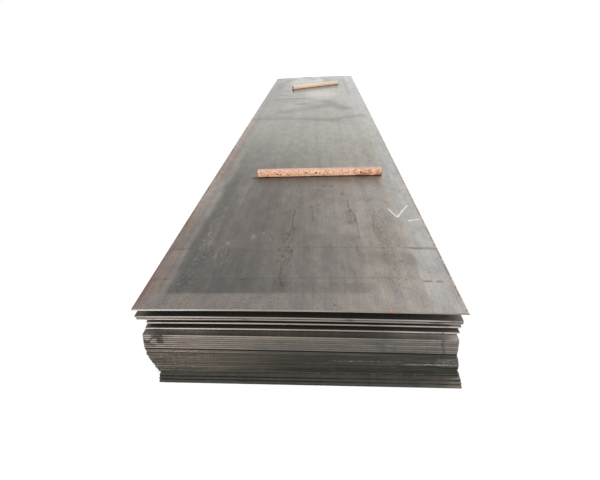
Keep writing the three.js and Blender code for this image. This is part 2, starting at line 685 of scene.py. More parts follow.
class Coat:
    """A colour that is laid up on a material's tree, from its ground upwards."""

    def __init__(self, graph: ShaderGraph, ground: Socket) -> None:
        """Start on a ground.

        Args:
            graph: The material's tree.
            ground: The colour under all others.
        """
        self.graph = graph
        self.colour = ground

    def lay(self, tone: Value, *shares: Value) -> None:
        """Lay a tone over it, as strongly as the product of some shares."""
        self.colour = self.graph.blend(self.graph.product(*shares), self.colour, tone)

    def light(self, tint: Socket) -> None:
        """Multiply it by another colour."""
        self.colour = self.graph.blend(1.0, self.colour, tint, "MULTIPLY")

    def dim(self, factor: Socket) -> None:
        """Make it lighter or darker by one factor."""
        self.light(self.graph.combine(factor, factor, factor))


class Breakup:
    """Breaks masks up by one noise, with the same flecks for every mask of a grain."""

    def __init__(self, graph: ShaderGraph, blots: Socket) -> None:
        """Start on a noise.

        Args:
            graph: The material's tree.
            blots: Noise from 0 to 1.
        """
        self.graph = graph
        self.blots = blots
        self.kept: Dict[int, Socket] = {}

    def mask(self, whole: Socket, grain: int) -> Socket:
        """Break a mask up.

        Args:
            whole: The mask.
            grain: 0 leaves it whole, and 10 leaves only flecks of it.

        Returns:
            The broken mask.
        """
        if grain == 0:
            return whole
        if grain not in self.kept:
            low, high = 0.44 + 0.01 * grain, 0.56 + 0.006 * grain
            self.kept[grain] = self.graph.ease(self.blots, low, high, (1.0 - 0.1 * grain, 1.0))
        return self.graph.product(whole, self.kept[grain])

    def paint(self, coat: Coat, place: Socket, marks: Sequence[Mark], *shares: Value) -> None:
        """Lay marks over a coat, each broken up by its grain.

        Args:
            coat: What they are laid on.
            place: The place that the marks are laid out on.
            marks: The marks, from the first laid to the last.
            *shares: What else weakens all of them.
        """
        for mark in marks:
            broken = self.mask(mark.mask(self.graph, place), mark.grain)
            coat.lay(mark.tone, broken, *shares)


@dataclass(frozen=True)
class Grain:
    """A noise and what it does.

    `lumps` counts its lumps in a metre along x, y and z. `levels` are the levels of the noise
    between which its effect goes from the first to the second of `to`.
    """

    lumps: Triple
    detail: float
    rough: float
    levels: Range
    to: Range

    def read(self, graph: ShaderGraph, place: Socket) -> Socket:
        """Its effect at a place."""
        noise = graph.grain(place, self.lumps, self.detail, self.rough)
        return graph.ease(noise, *self.levels, self.to)


@dataclass(frozen=True)
class PlateTones:
    """Colours that occur on the flat face of a hot-rolled plate."""

    # shade to clear, and far_shade to far_clear, span a painted sheen that grows to the right and far off
    shade: Colour = (0.205, 0.186, 0.17)
    clear: Colour = (0.455, 0.41, 0.37)
    far_shade: Colour = (0.326, 0.318, 0.272)
    far_clear: Colour = (0.462, 0.444, 0.381)
    blue: Colour = (0.118, 0.126, 0.122)
    rim: Colour = (0.365, 0.282, 0.246)
    pale: Colour = (0.545, 0.54, 0.52)
    warm_pale: Colour = (0.56, 0.5, 0.455)
    white: Colour = (0.72, 0.715, 0.68)
    brown: Colour = (0.15, 0.118, 0.098)
    ochre: Colour = (0.33, 0.285, 0.205)
    rust: Colour = (0.2, 0.082, 0.048)
    umber: Colour = (0.29, 0.185, 0.145)
    orange: Colour = (0.62, 0.27, 0.09)
    soot: Colour = (0.06, 0.054, 0.05)
    # Near-black, for wet dirt and for painted shadows
    wet_and_shade: Colour = (0.022, 0.019, 0.02)
    # A painted grey reflection
    painted_reflection_grey: Colour = (0.27, 0.28, 0.285)
    chalk: Colour = (0.78, 0.78, 0.76)


TONES = PlateTones()


def standard_patches() -> List[Patch]:
    """Areas of the top plate, from the broad ones to the small ones.

    Returns:
        The patches, from the first laid to the last.
    """
    return [
        # Along the left rim, and the bluish band beside it
        Patch((-0.8, -0.665), (-0.2, 6.2), TONES.rim, 0.75, (0.06, 0.1), 2),
        Patch((-0.8, -0.715), (0.8, 6.2), TONES.rim, 0.55, (0.04, 0.2), 4),
        Patch((-0.74, -0.6), (0.8, 1.9), TONES.warm_pale, 0.3, (0.06, 0.3), 2),
        Patch((-0.655, -0.625), (0.02, 1.25), TONES.pale, 0.24, (0.03, 0.1), 2),
        Patch((-0.6, -0.525), (0.46, 1.36), TONES.blue, 0.52, (0.035, 0.22), 4),
        Patch((-0.59, -0.5), (0.11, 0.42), TONES.blue, 0.44, (0.05, 0.1), 2),
        Patch((-0.54, -0.515), (0.47, 0.9), TONES.ochre, 0.45, (0.02, 0.05), 7),
        Patch((-0.57, -0.545), (0.3, 0.75), TONES.pale, 0.35, (0.02, 0.08), 9),
        # The end that was last in the rolls: a paler band, and a darker one behind it
        Patch((-0.59, -0.02), (0.101, 0.2), TONES.blue, 0.26, (0.05, 0.006), 0),
        Patch((-0.1, 0.36), (0.103, 0.17), TONES.blue, 0.2, (0.08, 0.008), 0),
        Patch((-0.6, -0.16), (0.103, 0.43), TONES.blue, 0.3, (0.09, 0.008), 0),
        Patch((0.0, 0.34), (0.1, 0.56), TONES.shade, 0.34, (0.08, 0.06), 1),
        Patch((-0.72, 0.12), (-0.1, 0.094), (0.3, 0.27, 0.246), 0.8, (0.16, 0.01), 0),
        # Right side: brown and ochre wear, then a bluish pale band and the paler rim, made paler still by
        # painted sheen where the right side reflects more light
        Patch((0.35, 0.62), (0.3, 0.4), TONES.brown, 0.34, (0.1, 0.05), 3),
        Patch((0.38, 0.52), (0.16, 0.72), TONES.ochre, 0.38, (0.06, 0.1), 4),
        Patch((0.44, 0.56), (0.43, 0.8), TONES.brown, 0.2, (0.03, 0.08), 6),
        Patch((0.44, 0.72), (0.85, 1.6), TONES.pale, 0.24, (0.08, 0.4), 1),
        Patch((0.606, 0.8), (-0.1, 1.9), TONES.pale, 0.66, (0.018, 0.5), 1),
        Patch((0.65, 0.8), (0.3, 1.9), TONES.white, 0.34, (0.04, 0.4), 1),
        Patch((0.64, 0.8), (1.4, 6.2), TONES.pale, 0.5, (0.05, 0.3), 1),
        Patch((0.5, 0.8), (3.1, 4.3), TONES.pale, 0.35, (0.1, 0.3), 1),
        Patch((0.715, 0.8), (-0.1, 6.2), TONES.warm_pale, 0.5, (0.03, 0.1), 2),
        Patch((0.355, 0.42), (0.66, 1.4), TONES.pale, 0.14, (0.02, 0.1), 1),
        # Middle of the near third
        Patch((-0.5, -0.42), (0.9, 1.22), TONES.warm_pale, 0.16, (0.03, 0.06), 4),
        Patch((-0.15, -0.115), (0.9, 1.14), TONES.warm_pale, 0.17, (0.015, 0.05), 4),
        Patch((-0.11, -0.03), (0.2, 0.47), TONES.brown, 0.85, (0.03, 0.03), 8),
        Patch((-0.106, -0.056), (0.11, 0.24), TONES.soot, 0.8, (0.03, 0.03), 8),
        Patch((0.06, 0.15), (0.96, 1.12), TONES.brown, 0.44, (0.03, 0.04), 7),
        Patch((0.29, 0.35), (0.66, 0.84), TONES.brown, 0.54, (0.02, 0.04), 7),
        Patch((-0.12, -0.02), (0.5, 0.64), TONES.brown, 0.6, (0.03, 0.05), 8),
        Patch((-0.48, -0.36), (0.28, 0.5), TONES.warm_pale, 0.18, (0.05, 0.08), 9),
        Patch((-0.34, 0.0), (0.62, 1.24), TONES.brown, 0.16, (0.1, 0.16), 1),
        Patch((0.02, 0.56), (0.92, 1.3), TONES.brown, 0.14, (0.08, 0.1), 3),
        # Painted shade in front of and under the near batten, over its reflection
        Patch((-0.4, 0.56), (1.2, 1.4), TONES.blue, 0.34, (0.04, 0.16), 0),
        # Behind the near batten
        Patch((-0.6, -0.4), (1.6, 2.1), TONES.brown, 0.16, (0.06, 0.2), 3),
        Patch((-0.32, -0.16), (1.75, 2.35), TONES.warm_pale, 0.12, (0.05, 0.2), 4),
        Patch((-0.1, 0.52), (2.75, 3.85), TONES.brown, 0.12, (0.15, 0.3), 1),
        Patch((0.23, 0.4), (2.77, 2.94), TONES.brown, 0.34, (0.08, 0.08), 1),
        # Painted reflections of the surroundings: light and dark bands across the far half, and a white
        # painted reflection of the sky before the far batten
        Patch((-0.38, -0.16), (3.42, 3.78), TONES.pale, 0.34, (0.08, 0.1), 1),
        Patch((-0.6, -0.08), (4.02, 4.12), TONES.brown, 0.84, (0.16, 0.06), 3),
        Patch((-0.5, -0.2), (3.88, 3.96), TONES.brown, 0.74, (0.16, 0.05), 4),
        Patch((-0.24, -0.04), (3.68, 3.79), TONES.brown, 0.8, (0.12, 0.06), 3),
        Patch((-0.56, -0.34), (4.3, 4.4), TONES.brown, 0.62, (0.15, 0.06), 4),
        Patch((-0.64, -0.5), (4.86, 5.16), TONES.soot, 0.46, (0.08, 0.12), 5),
        Patch((-0.08, 0.36), (4.12, 4.62), TONES.white, 0.78, (0.24, 0.4), 2),
        # Far end: painted sheen in white and painted reflections of darker surroundings in brown and soot,
        # with rust along the left rim in umber and warm pale
        Patch((-0.66, -0.56), (4.9, 5.35), TONES.brown, 0.4, (0.05, 0.14), 2),
        Patch((-0.55, -0.47), (5.58, 5.78), TONES.soot, 0.46, (0.07, 0.12), 4),
        Patch((0.18, 0.32), (5.34, 5.7), TONES.soot, 0.26, (0.06, 0.16), 2),
        Patch((0.545, 0.59), (4.2, 6.1), TONES.soot, 0.26, (0.04, 0.3), 1),
        Patch((0.6, 0.7), (4.8, 6.1), TONES.white, 0.4, (0.06, 0.5), 2),
        Patch((0.655, 0.685), (5.1, 6.1), TONES.soot, 0.28, (0.02, 0.3), 0),
        Patch((-0.42, 0.16), (5.05, 6.1), TONES.white, 0.55, (0.08, 0.4), 1),
        Patch((-0.8, -0.66), (1.3, 5.6), TONES.umber, 0.95, (0.06, 0.4), 4),
        Patch((-0.8, -0.69), (1.0, 5.6), TONES.warm_pale, 0.8, (0.06, 0.4), 7),
        Patch((-0.8, -0.53), (3.9, 6.2), TONES.soot, 0.32, (0.1, 0.5), 1),
        Patch((0.34, 0.59), (4.75, 5.6), TONES.soot, 0.2, (0.06, 0.2), 1),
        Patch((0.0, 0.22), (5.45, 6.1), TONES.white, 0.7, (0.08, 0.3), 1),
    ]


def standard_trails() -> List[Trail]:
    """Lines and blots of the top plate.

    Returns:
        The trails, from the first laid to the last.
    """
    rust, brown, soot, orange = TONES.rust, TONES.brown, TONES.soot, TONES.orange
    return [
        # Where two rolls let the plate rest, across it
        Trail(((-0.75, 0.432), (-0.6, 0.436)), 0.003, 0.01, rust, 0.6, 4),
        Trail(((-0.37, 0.437), (-0.27, 0.425)), 0.003, 0.01, soot, 0.22, 3),
        Trail(((-0.09, 0.44), (0.6, 0.44)), 0.001, 0.006, brown, 0.42, 4),
        Trail(((0.61, 0.436), (0.74, 0.432)), 0.004, 0.012, rust, 0.62, 4),
        Trail(((-0.75, 0.19), (-0.65, 0.194)), 0.003, 0.014, rust, 0.5, 5),
        Trail(((-0.6, 0.192), (0.51, 0.205)), 0.001, 0.006, brown, 0.4, 4),
        Trail(((0.61, 0.187), (0.64, 0.187)), 0.004, 0.008, rust, 0.6, 3),
        Trail(((0.668, 0.187), (0.69, 0.187)), 0.004, 0.008, rust, 0.62, 3),
        # A scratch that wanders along the middle
        Trail(((-0.045, 0.86), (-0.055, 0.72), (-0.05, 0.64)), 0.002, 0.006, soot, 0.6, 4),
        Trail(((-0.05, 0.64), (-0.062, 0.56), (-0.093, 0.479)), 0.003, 0.008, brown, 0.74, 4),
        Trail(((-0.05, 0.64), (-0.042, 0.56), (-0.06, 0.47)), 0.002, 0.006, brown, 0.64, 4),
        Trail(((-0.075, 0.412), (-0.05, 0.412)), 0.006, 0.01, soot, 0.45, 3),
        Trail(((-0.08, 0.3), (-0.085, 0.205), (-0.06, 0.139)), 0.003, 0.008, soot, 0.55, 5),
        # Thin drag marks along the plate
        Trail(((0.3, 0.885), (0.332, 0.77), (0.34, 0.64), (0.339, 0.525)), 0.002, 0.008, brown, 0.58, 5),
        Trail(((0.43, 0.6), (0.452, 0.49)), 0.002, 0.007, brown, 0.56, 4),
        Trail(((0.316, 0.45), (0.32, 0.4)), 0.002, 0.008, brown, 0.5, 4),
        Trail(((0.45, 0.76), (0.436, 0.6)), 0.002, 0.008, brown, 0.66, 4),
        Trail(((0.306, 0.965), (0.304, 0.87)), 0.002, 0.007, rust, 0.56, 3),
        Trail(((0.06, 0.87), (0.072, 0.79), (0.075, 0.7)), 0.002, 0.006, brown, 0.58, 4),
        Trail(((-0.205, 0.585), (-0.175, 0.56), (-0.16, 0.53)), 0.001, 0.005, soot, 0.35, 3),
        # Spots
        Trail(((-0.046, 0.875), (-0.044, 0.842)), 0.003, 0.006, orange, 0.7, 2),
        Trail(((0.085, 0.902), (0.085, 0.896)), 0.004, 0.007, orange, 0.75, 1),
        Trail(
            ((-0.035, 0.87), (0.02, 0.85), (0.062, 0.87), (0.12, 0.905)), 0.003, 0.01, brown, 0.52, 5
        ),
        Trail(((0.431, 0.018), (0.433, 0.004)), 0.003, 0.005, orange, 0.85, 1),
        Trail(((0.73, 0.163), (0.748, 0.158)), 0.003, 0.006, orange, 0.6, 2),
        Trail(((0.15, 1.18), (0.15, 1.16)), 0.006, 0.01, brown, 0.5, 2),
        Trail(((0.2, 1.18), (0.2, 1.16)), 0.006, 0.01, brown, 0.55, 2),
        Trail(((0.27, 1.06), (0.27, 1.03)), 0.008, 0.012, brown, 0.5, 2),
        Trail(((-0.27, 0.186), (-0.27, 0.184)), 0.003, 0.004, soot, 0.7),
        Trail(((-0.415, 0.486), (-0.415, 0.476)), 0.008, 0.012, TONES.warm_pale, 0.3, 2),
        Trail(((-0.275, 0.546), (-0.275, 0.534)), 0.01, 0.014, TONES.warm_pale, 0.28, 2),
        Trail(((-0.22, 0.58), (-0.22, 0.58)), 0.006, 0.01, TONES.pale, 0.28, 2),
        # Painted shadow at the near batten's left end and a painted contact shadow along its foot; before
        # the far one, a painted grey reflection of its face and a painted shadow line at its foot
        Trail(((-0.408, 1.332), (-0.398, 1.328)), 0.01, 0.022, soot, 0.9),
        Trail(((-0.39, 1.328), (0.1, 1.332), (0.592, 1.335)), 0.012, 0.006, TONES.wet_and_shade, 0.45),
        Trail(((-0.322, 4.665), (0.055, 4.825), (0.435, 4.985)), 0.11, 0.06, TONES.painted_reflection_grey, 0.72, 2),
        Trail(((-0.334, 4.77), (0.06, 4.934), (0.452, 5.094)), 0.036, 0.016, TONES.wet_and_shade, 0.66, 1),
        # Painted reflections of darker surroundings, as shapes that lie slantwise on the far half
        Trail(((-0.39, 3.33), (-0.05, 3.46), (0.22, 3.6)), 0.03, 0.13, TONES.brown, 0.6, 3),
        Trail(((0.22, 3.84), (0.31, 3.62), (0.44, 3.42)), 0.02, 0.14, TONES.brown, 0.76, 2),
        Trail(((-0.7, 3.04), (-0.3, 3.01), (0.22, 2.9), (0.62, 3.06)), 0.02, 0.09, TONES.brown, 0.6, 3),
        Trail(((-0.56, 3.16), (-0.2, 3.12)), 0.01, 0.05, TONES.brown, 0.34, 4),
        Trail(((-0.2, 6.0), (0.02, 5.7)), 0.03, 0.1, soot, 0.52, 3),
        Trail(((0.1, 5.98), (0.24, 5.62)), 0.02, 0.09, soot, 0.42, 3),
        Trail(((-0.56, 5.44), (-0.36, 5.86)), 0.02, 0.08, soot, 0.5, 3),
        Trail(((0.5, 5.6), (0.62, 5.2)), 0.02, 0.08, soot, 0.36, 4),
    ]


@dataclass(frozen=True)
class ChalkTick:
    """A tick and a dash that a checker draws with a stick of chalk."""

    strokes: Tuple[Tuple[Point, ...], ...] = (
        ((0.56, 0.835), (0.598, 0.742), (0.69, 0.88)),
        ((0.655, 0.7), (0.722, 0.716)),
    )
    half: float = 0.0022
    soft: float = 0.004

    def mask(self, graph: ShaderGraph, place: Socket, grit: Socket) -> Socket:
        """Where the chalk lies.

        Args:
            graph: The tree of the deck's material.
            place: The place on the plate's own axes.
            grit: Fine noise that the chalk skips over.

        Returns:
            1 on the chalk, 0 elsewhere.
        """
        flat = graph.flattened(place)
        near = graph.least(*(graph.polyline(flat, stroke) for stroke in self.strokes))
        line = graph.ease(near, self.half + self.soft, self.half)
        return graph.product(line, graph.ease(grit, 0.34, 0.52, (0.35, 1.0)))


@dataclass(frozen=True)
class DeckScale:
    """Scale on a stretch of the top plate, with what rolling, handling and rain left on it, and with painted
    light: a sheen, reflections on the far half, and shadows and reflections at the battens.

    The plate has more marks than one material holds, so it is laid out in stretches. A mark that
    reaches into two of them is in both, and no joint shows.
    """

    name: str
    stretch: Range
    pose: Matrix
    width: float
    patches: Tuple[Patch, ...]
    trails: Tuple[Trail, ...]
    chalk: ChalkTick = ChalkTick()
    streaks: Tuple[Grain, ...] = (
        Grain((14.0, 0.55, 1.0), 3.0, 0.5, (0.25, 0.75), (-0.08, 0.08)),
        Grain((75.0, 1.6, 1.0), 4.0, 0.65, (0.2, 0.8), (-0.08, 0.08)),
        Grain((260.0, 5.0, 1.0), 2.0, 0.5, (0.2, 0.8), (-0.05, 0.05)),
        Grain((16.0, 9.0, 1.0), 5.0, 0.65, (0.25, 0.75), (-0.14, 0.14)),
    )
    neutral: float = 0.7
    rust_reach: Grain = Grain((1.0, 3.5, 1.0), 4.0, 0.6, (0.4, 0.68), (0.003, 0.022))
    rust_dots: Grain = Grain((1.0, 55.0, 1.0), 2.0, 0.5, (0.42, 0.54), (0.0, 1.0))
    raised: Grain = Grain((95.0, 60.0, 1.0), 2.0, 0.6, (0.6, 0.66), (0.0, 1.0))
    overlap: float = 0.12
    dull: float = 0.8
    relief: float = 0.06 * MM
    metallic: float = 0.92
    chalk_rough: float = 0.9

    def build(self) -> Material:
        """Make the material.

        Returns:
            The material of one stretch.
        """
        graph = ShaderGraph(self.name)
        own = graph.turned(graph.place(), self.pose)
        drift = graph.drift(own, 7.0, 3.0)
        shiver = graph.drift(own, 55.0, 2.0)
        y = graph.part(own, Axis.Y)
        steady = graph.ease(y, 0.1, 0.5, (0.006, 0.055))
        loose = graph.shifted(own, graph.vector("MULTIPLY", drift, graph.combine(0.055, steady, 0.055)))
        fine = graph.shifted(own, graph.vector("SCALE", shiver, 0.01))
        fine = graph.shifted(fine, graph.vector("SCALE", drift, 0.012))
        grit = graph.noise(own, 150.0, 3.0, 0.6)
        flecks = Breakup(graph, graph.grain(own, (38.0, 20.0, 1.0), 4.0, 0.62))

        coat = Coat(graph, self._ground(graph, loose))
        flecks.paint(coat, loose, self._held(self.patches))
        self._rolling(coat, own)
        flecks.paint(coat, graph.flattened(fine), self._held(self.trails))
        self._pits(coat, own, grit)
        self._rim_rust(coat, own)
        chalk = self.chalk.mask(graph, fine, grit)
        coat.lay(TONES.chalk, chalk)

        metal = graph.ease(chalk, 0.0, 1.0, (self.metallic, 0.0))
        cloud = graph.ease(graph.noise(own, 2.6, 3.0, 0.5), 0.3, 0.7, (0.19, 0.27))
        worn = graph.ease(y, 1.4, 2.8, (0.18, -0.03))
        rough = graph.add(cloud, worn, graph.ease(grit, 0.3, 0.7, (-0.02, 0.03)))
        rough = graph.most(rough, graph.product(chalk, self.chalk_rough))
        graph.bump(grit, self.relief)
        return graph.dress({"Base Color": coat.colour, "Metallic": metal, "Roughness": rough})

    def _held(self, marks: Sequence[Mark]) -> List[Mark]:
        """The marks that reach into this stretch."""
        low, high = self.stretch[0] - self.overlap, self.stretch[1] + self.overlap
        return [mark for mark in marks if mark.span()[0] < high and mark.span()[1] > low]

    def _ground(self, graph: ShaderGraph, place: Socket) -> Socket:
        """The scale's colour with a painted sheen in it: cooler and darker on the left, paler to the right,
        greener and paler far off, where the plate reflects more light.

        Args:
            graph: The material's tree.
            place: The place, wandering a little.

        Returns:
            The colour.
        """
        x, y, _ = graph.parts(place)
        # Painted sheen: paler to the right near the front, and paler again far off
        near = graph.blend(graph.ease(x, -0.36, 0.66), TONES.shade, TONES.clear)
        far = graph.blend(graph.ease(x, -0.7, 0.7), TONES.far_shade, TONES.far_clear)
        return graph.blend(graph.ease(y, 0.55, 2.6), near, far)

    def _rolling(self, coat: Coat, own: Socket) -> None:
        """Streaks that the rolls draw along the plate.

        Args:
            coat: The colour so far.
            own: The place on the piece's own axes.
        """
        graph = coat.graph
        light = graph.add(*(streak.read(graph, own) for streak in self.streaks))
        factor = graph.add(light, 1.0)
        tint = graph.combine(factor, factor, graph.add(graph.product(light, self.neutral), 1.0))
        coat.light(tint)

    def _pits(self, coat: Coat, own: Socket, grit: Socket) -> None:
        """Small pits and flecks, thickest near the front edge and down the middle.

        Args:
            coat: The colour so far.
            own: The place on the piece's own axes.
            grit: Fine noise.
        """
        graph = coat.graph
        x, y, _ = graph.parts(own)
        crowd = graph.noise(own, 9.0, 2.0)
        front = graph.ease(y, 0.16, 0.03, (0.0, 0.05))
        level = graph.less(graph.ease(crowd, 0.35, 0.75, (0.7, 0.62)), front)
        deep = graph.ease(graph.less(graph.noise(own, 110.0, 2.0), level), -0.01, 0.03)
        coat.lay(TONES.soot, deep, graph.ease(x, 0.2, 0.45, (0.4, 0.24)))
        wander = graph.add(x, graph.ease(graph.noise(own, 3.0, 2.0), 0.3, 0.7, (-0.03, 0.03)))
        lines = graph.most(graph.band(wander, -0.535, 0.015, 0.05), graph.band(wander, 0.5, 0.03, 0.08))
        lines = graph.product(lines, graph.ease(y, 1.35, 1.05), graph.ease(y, 0.05, 0.15))
        coat.lay(TONES.warm_pale, self.raised.read(graph, own), lines, 0.42)
        sunk = graph.ease(graph.noise(own, 85.0, 2.0), 0.6, 0.66)
        coat.lay(TONES.soot, sunk, lines, 0.45)
        coat.dim(graph.ease(grit, 0.3, 0.7, (self.dull - 0.075, self.dull + 0.075)))

    def _rim_rust(self, coat: Coat, own: Socket) -> None:
        """Rust that creeps in from the cut sides, most of it on the left.

        Args:
            coat: The colour so far.
            own: The place on the piece's own axes.
        """
        graph = coat.graph
        x = graph.part(own, Axis.X)
        half = self.width / 2
        left = graph.less(graph.add(x, half), self.rust_reach.read(graph, own))
        coat.lay(TONES.rust, graph.ease(left, 0.01, -0.008), 0.48)
        inset = graph.less(half, x)
        coat.lay(TONES.white, graph.ease(inset, 0.009, 0.005, (0.0, 0.75)))
        line = graph.band(inset, 0.01, 0.0022, 0.0015)
        coat.lay(TONES.rust, line, self.rust_dots.read(graph, own), 0.8)


@dataclass(frozen=True)
class MillScale:
    """Blue-grey oxide that hot rolling leaves on a plate's flat faces."""

    name: str = "mill_scale"
    base: Colour = (0.32, 0.305, 0.28)
    dark: Colour = (0.19, 0.185, 0.172)
    rim: Colour = (0.4, 0.33, 0.29)
    painted_shade: Colour = (0.04, 0.042, 0.036)
    half_width: float = HALF_WIDTH
    metallic: float = 0.6
    sheltered: float = 0.252  # top of the tight pile, above which the faces lie in open gaps
    low_shade_top: float = 0.034  # top of the lowest lot, up to which its faces get painted shade
    short_shade_top: float = 0.174  # top of the short lot, up to which the faces get painted shade
    seam_shade_level: float = 0.1755  # the seam over the short lot, painted dark as shade
    lighter_ledge_top: float = 0.0415  # top of plate_04, where the painted shade is weaker
    relief: float = 0.06 * MM

    def build(self) -> Material:
        """Make the material of the plates that lie under others.

        Returns:
            The material.
        """
        graph = ShaderGraph(self.name)
        place = graph.place()
        x, _, z = graph.parts(place)
        broad = graph.grain(place, (11.0, 0.5, 37.0))
        thin = graph.grain(place, (75.0, 1.5, 37.0), 4.0, 0.6)
        cloud = graph.noise(place, 2.3, 4.0, 0.55)
        grit = graph.noise(place, 140.0, 3.0, 0.6)

        mottle = graph.add(*(graph.ease(noise, 0.3, 0.7, (0.0, 0.5)) for noise in (broad, cloud)))
        coat = Coat(graph, graph.blend(mottle, self.dark, self.base))
        near_side = graph.ease(graph.magnitude(x), self.half_width - 0.13, self.half_width - 0.03)
        right = graph.ease(x, -0.2, 0.5, (0.15, 0.7))
        coat.lay(self.rim, near_side, graph.ease(cloud, 0.35, 0.6), right)
        # Painted shade in the gaps, in one seam, on the lower faces and towards the left
        coat.lay(self.painted_shade, self._painted_shade_share(graph, x, z))
        lift = graph.ease(thin, 0.2, 0.8, (0.86, 1.08))
        coat.dim(graph.add(lift, graph.ease(grit, 0.3, 0.7, (-0.05, 0.05))))
        rough = graph.add(graph.ease(cloud, 0.2, 0.8, (0.36, 0.26)), graph.ease(grit, 0.3, 0.7, (0.0, 0.05)))
        graph.bump(grit, self.relief)
        return graph.dress({"Base Color": coat.colour, "Metallic": self.metallic, "Roughness": rough})

    def _painted_shade_share(self, graph: ShaderGraph, x: Socket, z: Socket) -> Socket:
        """Share of painted shade: high in the gaps above the tight pile, in the seam over the short lot, on
        the faces from the floor up to that lot, and on the left.

        Args:
            graph: The material's tree.
            x: How far to the right.
            z: How high.

        Returns:
            The share.
        """
        # Painted shade in the open gaps above the tight pile, less to the right
        gap_shade = graph.product(
            graph.ease(z, self.sheltered - 0.003, self.sheltered),
            graph.ease(x, 0.3, 0.75, (1.0, 0.62)),
            graph.ease(z, self.sheltered + 0.006, self.sheltered + 0.01, (0.68, 0.88)),
        )
        low = graph.most(
            graph.ease(z, self.low_shade_top + 0.003, self.low_shade_top, (0.0, 0.56)),
            graph.ease(z, self.short_shade_top, self.short_shade_top - 0.003, (0.0, 0.55)),
        )
        lighter_ledge = graph.product(graph.band(z, self.lighter_ledge_top, 0.003, 0.001), 0.75)
        low_shade = graph.product(low, graph.less(1.0, lighter_ledge))
        # Painted shade in the seam over the short lot
        seam = graph.product(graph.band(z, self.seam_shade_level, 0.0022, 0.0008), 0.92)
        return graph.most(gap_shade, low_shade, seam, graph.ease(x, -0.4, -0.74, (0.0, 0.7)))


def end_smudges() -> List[Patch]:
    """Dirt on the stack's front end, with each patch's `y` as a height.

    Returns:
        The smudges, from the first laid to the last.
    """
    soot, pale = TONES.soot, TONES.warm_pale
    return [
        Patch((-0.792, -0.766), (0.226, 0.25), TONES.wet_and_shade, 0.95, (0.01, 0.006), 1),
        Patch((-0.775, -0.735), (0.206, 0.218), TONES.wet_and_shade, 0.8, (0.016, 0.006), 4),
        Patch((-0.728, -0.668), (0.232, 0.254), TONES.wet_and_shade, 0.95, (0.01, 0.006), 3),
        Patch((-0.7, -0.665), (0.204, 0.232), TONES.wet_and_shade, 0.9, (0.014, 0.008), 2),
        Patch((-0.76, -0.71), (0.188, 0.204), soot, 0.75, (0.02, 0.008), 4),
        Patch((-0.76, -0.712), (0.214, 0.246), pale, 0.55, (0.014, 0.008), 6),
        Patch((0.586, 0.624), (0.203, 0.214), TONES.rust, 0.75, (0.02, 0.004), 3),
        Patch((0.6, 0.76), (0.118, 0.152), soot, 0.45, (0.05, 0.01), 7),
        Patch((0.56, 0.78), (0.03, 0.11), soot, 0.4, (0.08, 0.02), 7),
        Patch((0.64, 0.78), (0.09, 0.15), pale, 0.35, (0.05, 0.01), 8),
        Patch((0.15, 0.48), (0.116, 0.122), pale, 0.55, (0.1, 0.003), 8),
        Patch((0.5, 0.76), (0.098, 0.106), pale, 0.75, (0.06, 0.003), 7),
        Patch((-0.1, 0.68), (0.033, 0.039), pale, 0.55, (0.1, 0.002), 9),
        Patch((0.582, 0.64), (0.34, 0.347), TONES.wet_and_shade, 0.95, (0.008, 0.002), 3),
        Patch((0.66, 0.7), (0.3535, 0.359), soot, 0.85, (0.02, 0.002), 5),
        Patch((0.738, 0.8), (0.03, 0.152), TONES.wet_and_shade, 0.85, (0.01, 0.01), 6),
        Patch((0.742, 0.8), (0.04, 0.15), TONES.rust, 0.7, (0.008, 0.01), 8),
    ]


def _drooped(level: float, number: int, start: float) -> Tuple[Point, ...]:
    """Points along the seam under plate `number`, right of `start`. It droops to both sides.

    Args:
        level: The seam's height in the middle.
        number: The plate's number, counted from the floor.
        start: Where the points begin.

    Returns:
        The points.
    """
    stations = (-0.8, -0.55, -0.3, 0.0, 0.3, 0.55, 0.8)
    drop = CROWN * (number - 1) / HALF_WIDTH**2
    return tuple((x, level - drop * x**2) for x in stations if x >= start)


def seam_shade_lines() -> List[Trail]:
    """Painted shade in some seams between plates on the front end, and a painted contact shadow along the
    foot of the stack.

    Returns:
        The seams, from the floor up.
    """
    return [
        Trail(_drooped(level, number, start), half, half * 2, TONES.wet_and_shade, share, grain)
        for level, number, start, half, share, grain in (
            (0.0005, 1, -1.0, 0.003, 0.95, 0),
            (0.0205, 3, -1.0, 0.0012, 0.75, 3),
            (0.0313, 4, -1.0, 0.0016, 0.92, 2),
            (0.0525, 6, 0.3, 0.0011, 0.8, 4),
            (0.0629, 7, 0.3, 0.0012, 0.92, 3),
            (0.084, 9, 0.0, 0.0012, 0.8, 5),
            (0.1149, 12, 0.3, 0.0016, 0.95, 3),
            (0.156, 16, -1.0, 0.0012, 0.7, 4),
            (0.1786, 18, -1.0, 0.003, 0.97, 0),
        )
    ]


def end_lines() -> List[Trail]:
    """Scratches down the stack's front end, with each point's second number as a height.

    Returns:
        The scratches.
    """
    soot, wet_and_shade = TONES.soot, TONES.wet_and_shade
    return [
        Trail(((0.66, 0.258), (0.652, 0.225), (0.664, 0.19), (0.655, 0.15)), 0.002, 0.006, wet_and_shade, 0.85, 2),
        Trail(((-0.782, 0.23), (-0.735, 0.204)), 0.002, 0.005, wet_and_shade, 0.85, 3),
        Trail(((-0.758, 0.206), (-0.705, 0.24)), 0.002, 0.005, wet_and_shade, 0.85, 3),
        Trail(((0.578, 0.252), (0.594, 0.16)), 0.001, 0.004, soot, 0.3, 4),
        Trail(((0.622, 0.25), (0.632, 0.188)), 0.001, 0.003, soot, 0.3, 5),
    ]


